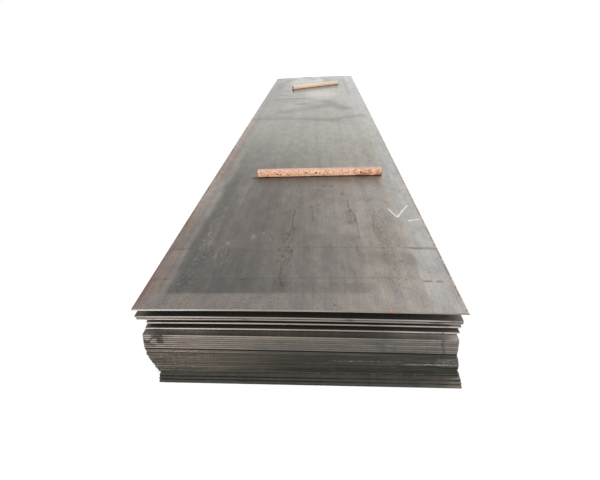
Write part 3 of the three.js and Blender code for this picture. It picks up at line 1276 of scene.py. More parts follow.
@dataclass(frozen=True)
class ShearedEdge:
    """Cut edge of a plate: a bright sheared land over a torn, duller one.

    The mesh holds each plate's tone, with the height within the plate in its alpha.
    """

    name: str = "sheared_edge"
    tone: str = "edge_tone"
    rust: Colour = (0.19, 0.085, 0.045)
    ochre: Colour = (0.3, 0.22, 0.12)
    soot: Colour = (0.02, 0.019, 0.017)
    front: float = -2.82  # y that only the front end lies in front of
    relief: float = 0.22 * MM
    metallic: float = 0.1
    specular: float = 0.1
    wander: Grain = Grain((5.0, 5.0, 97.0), 2.0, 0.5, (0.3, 0.7), (-0.1, 0.1))
    sheets: Grain = Grain((0.9, 0.9, 60.0), 3.0, 0.55, (0.28, 0.72), (-0.26, 0.26))
    ragged: Grain = Grain((7.0, 7.0, 90.0), 4.0, 0.65, (0.34, 0.66), (-0.8, 0.9))
    crumbs: Grain = Grain((75.0, 75.0, 120.0), 3.0, 0.6, (0.34, 0.66), (-0.45, 0.45))

    def build(self) -> Material:
        """Make the material.

        Returns:
            The material.
        """
        graph = ShaderGraph(self.name)
        place = graph.place()
        held = graph.node("ShaderNodeAttribute", attribute_name=self.tone)
        tone, height = held.outputs["Color"], held.outputs["Alpha"]
        step = graph.add(height, self.wander.read(graph, place))
        streak = graph.grain(place, (4.0, 4.0, 150.0), 4.0, 0.62)
        grit = graph.grain(place, (150.0, 150.0, 260.0), 3.0, 0.6)
        stain = graph.grain(place, (7.0, 7.0, 22.0), 4.0, 0.6)

        coat = Coat(graph, tone)
        self._light(coat, place, (height, step, streak, grit))
        self._stain(coat, (stain, streak, grit))
        self._front_marks(coat, place)
        rough = graph.ease(step, 0.52, 0.66, (0.62, 0.5))
        graph.bump(graph.add(grit, graph.product(streak, 0.8)), self.relief)
        look = {"Base Color": coat.colour, "Metallic": self.metallic, "Roughness": rough}
        return graph.dress({**look, "Specular IOR Level": self.specular})

    def _light(self, coat: Coat, place: Socket, noises: Sockets) -> None:
        """Light the plate's tone: in streaks along it, brighter on the land, darker at the foot, with
        painted shade in patches on the top arris.

        Args:
            coat: The colour so far.
            place: The place in the row frame.
            noises: The height within the plate, the same with a wander, the streaks and the grit.
        """
        graph = coat.graph
        height, step, streak, grit = noises
        x, _, z = graph.parts(place)
        patchy = graph.grain(place, (2.2, 2.2, 31.0), 3.0, 0.55)
        left, right = graph.ease(x, -0.25, -0.6), graph.ease(x, 0.3, 0.62)
        low = graph.ease(z, 0.21, 0.14, (0.3, 1.0))
        light = graph.add(
            1.0,
            self.sheets.read(graph, place),
            graph.ease(patchy, 0.25, 0.75, (-0.14, 0.14)),
            graph.ease(streak, 0.25, 0.75, (-0.16, 0.16)),
            graph.ease(grit, 0.25, 0.75, (-0.1, 0.1)),
            graph.product(self.ragged.read(graph, place), right, low),
            graph.product(self.crumbs.read(graph, place), left, low),
        )
        land = graph.ease(step, 0.52, 0.66, (0.98, 1.03))
        foot = graph.ease(height, 0.02, 0.13, (0.92, 1.0))
        # Painted shade in patches on the top arris
        bevel_shade = graph.product(graph.ease(height, 0.96, 1.0), graph.ease(patchy, 0.35, 0.65, (0.55, 0.05)))
        coat.dim(graph.product(light, land, foot, graph.less(1.0, bevel_shade)))

    def _stain(self, coat: Coat, noises: Sockets) -> None:
        """Soot, rust and ochre, in blots.

        Args:
            coat: The colour so far.
            noises: The stains, the streaks and the grit.
        """
        graph = coat.graph
        stain, streak, grit = noises
        coat.lay(self.soot, graph.ease(stain, 0.56, 0.72, (0.0, 0.45)))
        rusty = (graph.ease(stain, 0.4, 0.28), graph.ease(streak, 0.45, 0.62))
        coat.lay(self.rust, *rusty, 0.45)
        earthy = (graph.ease(stain, 0.5, 0.44), graph.ease(grit, 0.45, 0.62))
        coat.lay(self.ochre, *earthy, 0.14)

    def _front_marks(self, coat: Coat, place: Socket) -> None:
        """Smudges and scratches that run over several plates, and painted shade in seams, on the front end
        alone.

        Args:
            coat: The colour so far.
            place: The place in the row frame.
        """
        graph = coat.graph
        x, y, z = graph.parts(place)
        face = graph.ease(y, self.front, self.front - 0.02)
        upright = graph.combine(x, z, 0.0)
        shaken = graph.shifted(upright, graph.vector("SCALE", graph.drift(upright, 40.0, 3.0), 0.01))
        rough = graph.flattened(shaken)
        flecks = Breakup(graph, graph.grain(upright, (60.0, 160.0, 1.0), 4.0, 0.6))
        flecks.paint(coat, rough, end_smudges() + end_lines(), face)
        # Painted shade in seams, and a painted contact shadow at the foot
        flecks.paint(coat, graph.flattened(upright), seam_shade_lines(), face)


@dataclass(frozen=True)
class Knot:
    """A knot on a length of timber: how far along, how high, and how wide."""

    along: float
    height: float
    size: float


@dataclass(frozen=True)
class SawnTimber:
    """Rough-sawn softwood, bare and dry, with its grain along the piece's own y."""

    name: str
    pose: Matrix
    length: float
    height: float
    light: Colour = srgb(255, 213, 180)
    warm: Colour = srgb(252, 192, 151)
    grain: Colour = srgb(176, 112, 76)
    knot: Colour = srgb(74, 40, 27)
    bleach: Colour = srgb(250, 222, 204)
    weathered: Colour = srgb(200, 170, 160)
    dried: Colour = srgb(255, 229, 206)
    grey: Colour = srgb(112, 100, 88)
    pallor: float = 0.0
    dirt: float = 0.0
    knots: Tuple[Knot, ...] = ()
    burr: Range = (0.0, 0.0)
    relief: float = 0.9 * MM
    specular: float = 0.25

    def build(self) -> Material:
        """Make the material.

        Returns:
            The material.
        """
        graph = ShaderGraph(self.name)
        own = graph.turned(graph.place(), self.pose)
        bent = graph.shifted(own, graph.vector("SCALE", graph.drift(own, 6.0, 2.0), 0.012))
        for knot in self.knots:
            bent = self._part_grain(graph, bent, own, knot)

        fibre = graph.grain(bent, (170.0, 7.0, 170.0), 4.0, 0.6)
        growth = graph.grain(bent, (48.0, 2.2, 48.0))
        patch = graph.grain(bent, (22.0, 16.0, 22.0), 4.0, 0.6)
        spots = graph.grain(bent, (95.0, 70.0, 95.0), 2.0, 0.6)
        grit = graph.noise(own, 210.0, 3.0, 0.6)

        coat = Coat(graph, graph.blend(graph.ease(growth, 0.3, 0.68), self.warm, self.light))
        for tone, noise, low, high, share in (
            (self.grain, fibre, 0.5, 0.74, 0.6),
            (self.grain, patch, 0.56, 0.72, 0.6),
            (self.bleach, patch, 0.42, 0.3, 0.66),
            (self.grain, spots, 0.53, 0.6, 0.74),
            (self.bleach, spots, 0.47, 0.38, 0.74),
        ):
            coat.lay(tone, graph.ease(noise, low, high), share)
        self._burr(coat, own, patch, fibre)
        self._knots(coat, own, grit)
        coat.lay(self.dried, self.pallor)
        self._sawn_ends(coat, own, fibre)
        self._weather(coat, own, grit)
        rough = graph.ease(fibre, 0.2, 0.8, (0.92, 0.72))
        graph.bump(graph.add(graph.product(fibre, 0.8), graph.product(grit, 0.4)), self.relief)
        look = {"Base Color": coat.colour, "Roughness": rough, "Specular IOR Level": self.specular}
        return graph.dress(look)

    def _part_grain(self, graph: ShaderGraph, bent: Socket, own: Socket, knot: Knot) -> Socket:
        """Make the grain flow round a knot.

        Args:
            graph: The material's tree.
            bent: The place that the grain is read at.
            own: The place on the piece's own axes.
            knot: The knot.

        Returns:
            The place with the grain parted.
        """
        offset = graph.vector("SUBTRACT", own, (0.0, knot.along, knot.height))
        away = graph.vector("LENGTH", graph.stretched(offset, 0.15, 0.6, 1.0))
        push = graph.ease(away, knot.size * 2.6, 0.0, (0.0, 0.5))
        side = graph.vector("SCALE", graph.stretched(offset, 0.0, 0.0, 1.0), push)
        return graph.vector("SUBTRACT", bent, side)

    def _knots(self, coat: Coat, own: Socket, grit: Socket) -> None:
        """Dark knots with a paler ring round them.

        Args:
            coat: The colour so far.
            own: The place on the piece's own axes.
            grit: Fine noise.
        """
        graph = coat.graph
        for knot in self.knots:
            offset = graph.vector("SUBTRACT", own, (0.0, knot.along, knot.height))
            away = graph.vector("LENGTH", graph.stretched(offset, 0.12, 1.0, 1.25))
            away = graph.add(away, graph.ease(grit, 0.2, 0.8, (-0.002, 0.002)))
            ring = graph.band(away, knot.size * 1.25, knot.size * 0.15, knot.size * 0.3)
            coat.lay(self.light, ring, 0.35)
            coat.lay(self.knot, graph.ease(away, knot.size, knot.size * 0.55), 0.95)

    def _burr(self, coat: Coat, own: Socket, patch: Socket, fibre: Socket) -> None:
        """A stretch of the piece where the grain is wild and dark.

        Args:
            coat: The colour so far.
            own: The place on the piece's own axes.
            patch: Noise of broad patches.
            fibre: Noise along the grain.
        """
        graph = coat.graph
        if not any(self.burr):
            return
        start, end = self.burr
        stretch = graph.band(graph.part(own, Axis.Y), (start + end) / 2, (end - start) / 2, 0.03)
        wild = graph.most(graph.ease(patch, 0.44, 0.6), graph.ease(fibre, 0.52, 0.64))
        coat.lay(shaded(self.grain, 0.8), stretch, wild, 0.75)

    def _sawn_ends(self, coat: Coat, own: Socket, fibre: Socket) -> None:
        """End grain: darker, with dirt drawn in from both ends.

        Args:
            coat: The colour so far.
            own: The place on the piece's own axes.
            fibre: Noise along the grain.
        """
        graph = coat.graph
        y = graph.part(own, Axis.Y)
        end = graph.least(y, graph.less(self.length, y))
        drawn = graph.add(end, graph.ease(fibre, 0.3, 0.7, (-0.003, 0.003)))
        reach = 0.006 + 0.004 * self.pallor
        drawn = graph.ease(drawn, reach, reach * 0.3, (0.0, 0.85))
        coat.lay(shaded(self.grain, 0.22), drawn)

    def _weather(self, coat: Coat, own: Socket, grit: Socket) -> None:
        """Grey dirt over all, and painted shade along the foot where the piece rests.

        Args:
            coat: The colour so far.
            own: The place on the piece's own axes.
            grit: Fine noise.
        """
        graph = coat.graph
        z = graph.part(own, Axis.Z)
        # Painted shade along the bottom few millimetres
        foot = graph.ease(graph.add(z, graph.ease(grit, 0.3, 0.7, (-0.002, 0.002))), 0.006, 0.0)
        coat.lay(self.knot, foot, 0.45)
        top = graph.ease(z, self.height - 0.004, self.height - 0.001)
        coat.lay(self.weathered, top, 0.64 * (1.0 - self.pallor))
        if self.dirt:
            coat.lay(self.grey, graph.ease(graph.noise(own, 5.0), 0.2, 0.8, (self.dirt * 0.5, self.dirt)))


# ----------------------------------------------------------------------------------------------
# Plates
# ----------------------------------------------------------------------------------------------


@dataclass
class PlateShape:
    """The tree that every plate is run from: a sheared slab, crowned, curled and slightly wavy."""

    layers: int = 5
    ease: float = 0.5 * MM
    reach: float = 1.2
    sharp: float = 0.35  # radians by which faces turn at an arris
    flat: float = 0.9  # upward part of a normal, above which a face is one of the flat ones
    graph: ShapeGraph = field(init=False)

    def __post_init__(self) -> None:
        """Build the tree."""
        graph = self.graph = ShapeGraph("sheared_plate")
        sizes = graph.take("Width", "Length", "Thickness")
        bends = graph.take("Curl Rise", "Crown Drop", "End Bow", "Wave Height")
        wander, seed, far_from = graph.take("Edge Wander", "Seed", "Far From")
        counts = graph.take("Columns", "Rows", kind="Int")
        tones = graph.take("Tone Left", "Tone Middle", "Tone Right", kind="Color")
        faces = graph.take("Near Face Material", "Far Face Material", "Edge Material", kind="Material")

        shape = graph.box(sizes, (*counts, self.layers))
        shape = self._tone(shape, sizes, tones)
        shape = self._ease_rim(shape, sizes, counts)
        shape = self._wander_rim(shape, sizes, wander, seed)
        shape = self._bend(shape, sizes, bends, seed)
        graph.end(self._finish(shape, faces, far_from))

    def _tone(self, shape: Socket, sizes: Sockets, tones: Sockets) -> Socket:
        """Store the cut edges' tone from side to side, and the height within the plate.

        Args:
            shape: The geometry.
            sizes: Its size along each axis.
            tones: The tone on the left, in the middle and on the right.

        Returns:
            The geometry that holds them.
        """
        graph = self.graph
        x, _, z = graph.parts(graph.position())
        share = graph.add(graph.ratio(x, sizes[0]), 0.5)
        height = graph.add(graph.ratio(z, sizes[2]), 0.5)
        left = graph.blend(graph.ease(share, 0.1, 0.5), tones[0], tones[1])
        tone = graph.blend(graph.ease(share, 0.5, 0.95), left, tones[2])
        split = graph.node("FunctionNodeSeparateColor", {0: tone}, mode="RGB")
        levels = {index: split.outputs[index] for index in range(3)}
        joined = graph.node("FunctionNodeCombineColor", {**levels, "Alpha": height}, mode="RGB")
        inputs = {"Name": ShearedEdge.tone, "Geometry": shape, "Value": joined.outputs[0]}
        kind = "GeometryNodeStoreNamedAttribute"
        return graph.node(kind, inputs, data_type="FLOAT_COLOR", domain="POINT").outputs[0]

    def _rim(self, across: Socket, size: Socket, cell: Value) -> Socket:
        """Whether a vertex is in the outermost row of one axis."""
        edge = self.graph.less(self.graph.product(size, 0.5), cell)
        return self.graph.above(self.graph.magnitude(across), edge)

    def _ease_rim(self, shape: Socket, sizes: Sockets, counts: Sockets) -> Socket:
        """Pull the second row of vertices out to the rim, and bevel the rim's corners.

        Args:
            shape: The geometry.
            sizes: Its size along each axis.
            counts: Its vertices across and along.

        Returns:
            The eased geometry.
        """
        graph = self.graph
        x, y, z = graph.parts(graph.position())
        moved = []
        rims = []
        for across, size, count in zip((x, y), sizes, counts):
            cell = graph.ratio(size, graph.less(count, 1.0))
            rim = self._rim(across, size, graph.product(cell, 0.5))
            half = graph.product(size, 0.5)
            spread = graph.ratio(graph.less(half, self.ease), graph.less(half, cell))
            scale = graph.add(rim, graph.product(graph.less(1.0, rim), spread))
            moved.append(graph.product(across, scale))
            rims.append(rim)
        rim = graph.most(*rims)
        half = graph.product(sizes[2], 0.5)
        shrink = graph.ratio(graph.less(half, self.ease), half)
        scale = graph.add(graph.product(rim, shrink), graph.less(1.0, rim))
        return graph.move(shape, graph.combine(*moved, graph.product(z, scale)))

    def _wander_rim(self, shape: Socket, sizes: Sockets, wander: Socket, seed: Socket) -> Socket:
        """Draw the cut faces in by a little, unevenly, and more towards the underside.

        Args:
            shape: The geometry.
            sizes: Its size along each axis.
            wander: How far in the faces are drawn.
            seed: Where its noise is read.

        Returns:
            The uneven geometry.
        """
        graph = self.graph
        place = graph.position()
        x, y, z = graph.parts(place)
        shifted = graph.shifted(place, graph.combine(seed, seed, 0.0))
        lumps = graph.noise(graph.stretched(shifted, 1.0, 1.0, 30.0), 3.2, 4.0, 0.6)
        slant = graph.less(0.5, graph.ratio(z, sizes[2]))
        inset = graph.product(wander, graph.add(lumps, graph.product(slant, 0.4)))
        moved = []
        for across, size in zip((x, y), sizes):
            rim = self._rim(across, size, self.ease * 0.5)
            moved.append(graph.less(across, graph.product(graph.sign(across), rim, inset)))
        return graph.move(shape, graph.combine(*moved, z))

    def _bend(self, shape: Socket, sizes: Sockets, bends: Sockets, seed: Socket) -> Socket:
        """Stand the plate on z = 0 with its front edge at y = 0, and bend it.

        Args:
            shape: The flat slab.
            sizes: Its width, length and thickness.
            bends: The rise of its curled ends, the drop of its long sides, the further drop of its
                corners, and the height of its waves.
            seed: Where its waves are read.

        Returns:
            The bent plate.
        """
        graph = self.graph
        width, length, thickness = sizes
        rise, crown, bow, wave = bends
        x, y, z = graph.parts(graph.position())
        half = graph.product(length, 0.5)
        from_end = graph.less(half, graph.magnitude(y))
        inside = graph.math("SUBTRACT", 1.0, graph.ratio(from_end, self.reach), clamp=True)
        curl = graph.product(inside, inside)
        side = graph.ratio(graph.product(x, 2.0), width)
        drop = graph.product(graph.product(side, side), graph.add(crown, graph.product(bow, curl)))
        shifted = graph.shifted(graph.combine(x, y, 0.0), graph.combine(seed, 0.0, seed))
        roll = graph.noise(graph.stretched(shifted, 0.5, 1.0, 1.0), 1.6, 2.0)
        sink = graph.product(wave, graph.ease(roll, 0.25, 0.75, (-1.0, 0.0)))
        level = graph.add(z, graph.product(thickness, 0.5), graph.product(rise, curl))
        level = graph.add(graph.less(level, drop), sink)
        return graph.move(shape, graph.combine(x, graph.add(y, half), level))

    def _finish(self, shape: Socket, faces: Sockets, far_from: Socket) -> Socket:
        """Smooth the flat faces but not the arrises, realize the plate and coat it.

        Args:
            shape: The geometry.
            faces: Materials near the front end and beyond, and of the edges.
            far_from: Where the second of them begins.

        Returns:
            The coated plate.
        """
        graph = self.graph
        near_face, far_face, edge = faces
        normal = graph.node("GeometryNodeInputNormal").outputs[0]
        flat = graph.above(graph.magnitude(graph.part(normal, Axis.Z)), self.flat)
        shape = graph.realized(graph.smooth(shape, self.sharp))
        shape = graph.coat(graph.coat(shape, edge), near_face, flat)
        far = graph.above(graph.part(graph.position(), Axis.Y), far_from)
        return graph.coat(shape, far_face, graph.product(flat, far))


@dataclass(frozen=True)
class EdgeTone:
    """Display colours of a lot's cut edges from left to right, with painted light and shade in them, and how
    much its plates differ.
    """

    left: Shades
    middle: Shades
    right: Shades
    vary: float

    def lit(self, light: float, slope: float) -> Dict[str, Tuple[float, ...]]:
        """The tree's inputs for one plate.

        Args:
            light: How light the plate is, where 1 is as the lot.
            slope: How much lighter its left is than its middle.

        Returns:
            A colour for each input.
        """
        parts = (
            ("Tone Left", self.left, light + slope),
            ("Tone Middle", self.middle, light),
            ("Tone Right", self.right, light - 2 * slope),
        )
        return {name: (*shaded(srgb(*shades), factor), 1.0) for name, shades, factor in parts}


@dataclass
class PlateLot:
    """Plates that lie together and share a look."""

    name: str
    first: int
    last: int
    tone: EdgeTone
    end_bow: float = 0.0
    columns: int = 21
    rows: int = 81
    wave: float = 0.12 * MM
    wander: float = 0.5 * MM
    ragged: float = 1.5 * MM
    far_from: float = 1.365  # where the deck's second material begins, under the near batten
    first_draw: int = 1000  # what a plate's number is added to for its random draws
    seeds: Range = (5.0, 60.0)

    def nodes(self) -> List[str]:
        """Names of the plates, from the floor up."""
        return [f"plate_{number:02d}" for number in range(self.first, self.last + 1)]

    def build(self, shape: PlateShape, coats: Sequence[Material], gauge: float, crown: float) -> None:
        """Make every plate of the lot, riding on the body and standing for its node.

        Args:
            shape: The tree that plates are run from.
            coats: Materials of the flat faces near the front end and beyond, and of the edges.
            gauge: Thickness of every plate.
            crown: How much thinner a plate is along its sides than along its middle.
        """
        for number, node in enumerate(self.nodes(), self.first):
            draw = random.Random(self.first_draw + number)
            block = Block.measure(node, gauge)
            light = 1.0 + draw.uniform(-self.tone.vary, self.tone.vary)
            slope = draw.uniform(-self.tone.vary, self.tone.vary) / 2
            short_left = draw.uniform(0.0, self.ragged)
            short_right = draw.uniform(0.0, self.ragged)
            pose = block.pose @ Matrix.Translation(((short_left - short_right) / 2, 0.0, 0.0))
            values = {
                "Width": block.width - short_left - short_right,
                "Length": block.length,
                "Thickness": block.thickness,
                "Curl Rise": block.rise,
                "Crown Drop": crown * (number - 1),
                "End Bow": self.end_bow,
                "Wave Height": self.wave if number > 1 else 0.0,
                "Edge Wander": self.wander,
                "Seed": draw.uniform(*self.seeds),
                "Columns": self.columns,
                "Rows": self.rows,
                "Near Face Material": coats[0],
                "Far Face Material": coats[1],
                "Edge Material": coats[2],
                "Far From": self.far_from,
                **self.tone.lit(light, slope),
            }
            plate = shape.graph.make(node + "_rolled", values, pose)
            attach(plate, BODY)
            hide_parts(node)
            LOG.info("lot %s: %s, %d faces", self.name, plate.name, len(plate.data.polygons))


# ----------------------------------------------------------------------------------------------
# Timber
# ----------------------------------------------------------------------------------------------


@dataclass
class TimberShape:
    """The tree that every timber is run from: a sawn stick with worn corners, bowed a little."""

    section: int = 5
    sharp: float = 0.9  # radians by which faces turn at an arris
    cut: float = 0.293  # share of the radius by which a round arris lies inside a square one
    graph: ShapeGraph = field(init=False)

    def __post_init__(self) -> None:
        """Build the tree."""
        graph = self.graph = ShapeGraph("sawn_stick")
        sizes = graph.take("Width", "Length", "Height")
        corner, wear, wane = graph.take("Corner", "Wear", "Wane")
        bow, droop, seed = graph.take("Bow", "Droop", "Seed")
        (stations,) = graph.take("Stations", kind="Int")
        (material,) = graph.take("Material", kind="Material")

        counts = (self.section, stations, self.section)
        shape = self._round(graph.box(sizes, counts), sizes, counts, corner)
        shape = self._wear(shape, sizes, (wear, wane), seed)
        shape = graph.smooth(self._bend(shape, sizes, bow, droop), self.sharp)
        graph.end(graph.coat(graph.realized(shape), material))

    def _round(self, shape: Socket, sizes: Sockets, counts: Sequence[Value], corner: Socket) -> Socket:
        """Pull the second row out towards each arris, and draw the arris in.

        Args:
            shape: The square stick.
            sizes: Its size along each axis.
            counts: Its vertices along each axis.
            corner: Radius of the arrises.

        Returns:
            The rounded stick.
        """
        graph = self.graph
        across = graph.parts(graph.position())
        rims = []
        pulled = []
        for value, size, count in zip(across, sizes, counts):
            half = graph.product(size, 0.5)
            cell = graph.ratio(size, graph.less(count, 1.0))
            away = graph.magnitude(value)
            rim = graph.above(away, graph.less(half, graph.product(cell, 0.5)))
            second = graph.above(away, graph.less(half, graph.product(cell, 1.5)))
            target = graph.product(graph.sign(value), graph.less(half, corner))
            shift = graph.product(graph.less(target, value), graph.less(second, rim))
            pulled.append(graph.add(value, shift))
            rims.append(rim)
        arris = graph.above(graph.add(*rims), 1.5)
        moved = []
        for value, original, rim in zip(pulled, across, rims):
            draw = graph.product(graph.sign(original), rim, arris, graph.product(corner, self.cut))
            moved.append(graph.less(value, draw))
        return graph.move(shape, graph.combine(*moved))

    def _wear(self, shape: Socket, sizes: Sockets, losses: Sockets, seed: Socket) -> Socket:
        """Bruise the faces and arrises inwards, and leave one arris waney.

        Args:
            shape: The rounded stick.
            sizes: Its size along each axis.
            losses: The depth of its bruises and the depth of its wane.
            seed: Where its bruises and its wane are read.

        Returns:
            The worn stick.
        """
        graph = self.graph
        wear, wane = losses
        place = graph.position()
        x, y, z = graph.parts(place)
        moved = []
        for index, (value, size) in enumerate(zip((x, y, z), sizes)):
            shifted = graph.shifted(place, graph.combine(seed, graph.product(seed, 0.7), index * 9.0))
            bruises = graph.noise(graph.stretched(shifted, 1.0, 0.6, 1.0), 26.0, 3.0, 0.6)
            dents = graph.ease(bruises, 0.35, 0.8)
            out = graph.ratio(graph.magnitude(value), graph.product(size, 0.5))
            draw = graph.product(graph.sign(value), graph.ease(out, 0.6, 0.97), wear, dents)
            moved.append(graph.less(value, draw))
        run = graph.shifted(graph.combine(0.0, y, 0.0), graph.combine(seed, 0.0, 0.0))
        waney = graph.ease(graph.noise(run, 4.5, 2.0), 0.42, 0.66)
        right = graph.ease(graph.ratio(x, sizes[0]), 0.3, 0.5)
        upper = graph.ease(graph.ratio(z, sizes[2]), 0.3, 0.5)
        cut = graph.product(waney, right, upper, wane)
        moved[0] = graph.less(moved[0], cut)
        moved[2] = graph.less(moved[2], graph.product(cut, 0.8))
        return graph.move(shape, graph.combine(*moved))

    def _bend(self, shape: Socket, sizes: Sockets, bow: Socket, droop: Socket) -> Socket:
        """Stand the stick on z = 0 with one end at y = 0, bowed sideways and drooped at its ends.

        Args:
            shape: The geometry.
            sizes: Its size along each axis.
            bow: How far it is bowed sideways.
            droop: How far its ends hang down.

        Returns:
            The bent stick.
        """
        graph = self.graph
        x, y, z = graph.parts(graph.position())
        share = graph.ratio(graph.product(y, 2.0), sizes[1])
        outward = graph.product(share, share)
        across = graph.add(x, graph.product(bow, graph.less(outward, 0.4)))
        level = graph.add(z, graph.product(sizes[2], 0.5))
        level = graph.less(level, graph.product(outward, droop))
        along = graph.add(y, graph.product(sizes[1], 0.5))
        return graph.move(shape, graph.combine(across, along, level))


@dataclass
class Timber:
    """One stick of sawn timber that stands for a node."""

    node: str
    seed: float
    droop: float = 0.0
    bow: float = 0.0
    corner: float = 2.0 * MM
    wear: float = 1.4 * MM
    wane: float = 0.0
    dirt: float = 0.5
    pallor: float = 0.0
    spacing: float = 9 * MM
    knots: Tuple[Knot, ...] = ()
    burr: Range = (0.0, 0.0)

    def build(self, shape: TimberShape) -> bpy.types.Object:
        """Make the stick.

        Args:
            shape: The tree that timbers are run from.

        Returns:
            The stick, riding on the body and standing for its node.
        """
        block = Block.measure(self.node)
        look = {"dirt": self.dirt, "pallor": self.pallor, "knots": self.knots, "burr": self.burr}
        finish = SawnTimber("timber_" + self.node, block.pose, block.length, block.thickness, **look)
        values = {
            "Width": block.width,
            "Length": block.length,
            "Height": block.thickness,
            "Corner": self.corner,
            "Wear": self.wear,
            "Wane": self.wane,
            "Bow": self.bow,
            "Droop": self.droop,
            "Seed": self.seed,
            "Stations": int(block.length / self.spacing),
            "Material": finish.build(),
        }
        stick = shape.graph.make(self.node + "_sawn", values, block.pose)
        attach(stick, BODY)
        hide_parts(self.node)
        return stick


# ----------------------------------------------------------------------------------------------
# Studio
# ----------------------------------------------------------------------------------------------


@dataclass
class Studio:
    """Floor, light and camera."""

    floor_size: float = 60.0
    floor_tone: Colour = (0.9, 0.9, 0.9)
    floor_rough: float = 0.9
    ambient: float = 0.9
    lamp_place: Triple = (3.0, -3.5, 6.0)
    lamp_size: float = 8.0
    lamp_radiance: float = 0.45
    fill_place: Triple = (0.5, -9.0, 3.2)
    fill_size: float = 6.0
    fill_radiance: float = 1.25
    floor_glow: float = 0.3
    lens: float = 17.77
    sensor: float = 36.0
    far_clip: float = 200.0
    eye: Triple = (0.1209, -0.8405, 1.0295)
    yaw: float = math.radians(-5.051)
    pitch: float = math.radians(37.282)
    roll: float = math.radians(-3.338)

    def build(self, deck: Block) -> None:
        """Make the floor, the world, the lamps and the camera.

        Args:
            deck: The top plate, whose front edge the camera is placed from.
        """
        self._floor()
        self._world()
        self._lamps()
        self._camera(deck)
        bpy.context.scene.view_settings.view_transform = "Standard"

    def _floor(self) -> None:
        """A pale floor that keeps the stack's shadow."""
        half = self.floor_size / 2
        mesh = bpy.data.meshes.new("floor")
        corners = [(-half, -half, 0.0), (half, -half, 0.0), (half, half, 0.0), (-half, half, 0.0)]
        mesh.from_pydata(corners, [], [(0, 1, 2, 3)])
        floor = bpy.data.objects.new("floor", mesh)
        bpy.context.scene.collection.objects.link(floor)
        graph = ShaderGraph("pale_floor")
        path = graph.node("ShaderNodeLightPath").outputs
        seen = graph.most(path["Is Camera Ray"], path["Is Glossy Ray"])
        look = {
            "Base Color": self.floor_tone,
            "Roughness": self.floor_rough,
            "Specular IOR Level": 0.0,
            "Emission Color": WHITE,
            "Emission Strength": graph.product(seen, self.floor_glow),
        }
        mesh.materials.append(graph.dress(look))

    def _world(self) -> None:
        """White behind the stack and in its reflections, and a soft light all round."""
        world = bpy.data.worlds.new("studio")
        world.use_nodes = True
        bpy.context.scene.world = world
        graph = Graph(world.node_tree)
        path = graph.node("ShaderNodeLightPath").outputs
        seen = graph.most(path["Is Camera Ray"], path["Is Glossy Ray"], path["Is Transmission Ray"])
        strength = graph.add(graph.product(seen, 1.0 - self.ambient), self.ambient)
        background = graph.node("ShaderNodeBackground", {"Color": WHITE, "Strength": strength})
        graph.node("ShaderNodeOutputWorld", {"Surface": background.outputs[0]})

    def _lamps(self) -> None:
        """A large soft lamp, high and to the front right, and a lower one in front."""
        self._lamp("soft_lamp", self.lamp_place, self.lamp_size, self.lamp_radiance)
        self._lamp("front_lamp", self.fill_place, self.fill_size, self.fill_radiance)

    def _lamp(self, name: str, place: Triple, size: float, radiance: float) -> None:
        """Hang one square lamp that faces the stack.

        Args:
            name: Its name.
            place: Where its middle is.
            size: Length of its sides.
            radiance: How bright it looks, where 1 is white.
        """
        data = bpy.data.lights.new(name, "AREA")
        data.shape = "RECTANGLE"
        data.size = size
        data.size_y = size
        data.energy = radiance * math.pi * size**2
        lamp = bpy.data.objects.new(name, data)
        lamp.location = place
        lamp.rotation_euler = (-lamp.location).to_track_quat("-Z", "Y").to_euler()
        bpy.context.scene.collection.objects.link(lamp)

    def _camera(self, deck: Block) -> None:
        """A wide lens that looks down along the plates from above their front end.

        Args:
            deck: The top plate, whose front edge the camera is placed from.
        """
        cos_pitch, sin_pitch = math.cos(self.pitch), math.sin(self.pitch)
        cos_yaw, sin_yaw = math.cos(self.yaw), math.sin(self.yaw)
        forward = Vector((sin_yaw * cos_pitch, cos_yaw * cos_pitch, -sin_pitch))
        level = Vector((cos_yaw, -sin_yaw, 0.0))
        upright = level.cross(forward)
        right = math.cos(self.roll) * level + math.sin(self.roll) * upright
        above = -math.sin(self.roll) * level + math.cos(self.roll) * upright
        turn = Matrix((right, above, -forward)).transposed()
        data = bpy.data.cameras.new("camera")
        data.sensor_width = self.sensor
        data.sensor_fit = "HORIZONTAL"
        data.lens = self.lens
        data.clip_end = self.far_clip
        camera = bpy.data.objects.new("camera", data)
        front = deck.pose.to_translation() + Vector((0.0, 0.0, deck.thickness))
        camera.matrix_world = Matrix.Translation(front + Vector(self.eye)) @ turn.to_4x4()
        bpy.context.scene.collection.objects.link(camera)
        bpy.context.scene.camera = camera


# ----------------------------------------------------------------------------------------------
# The stack
# ----------------------------------------------------------------------------------------------


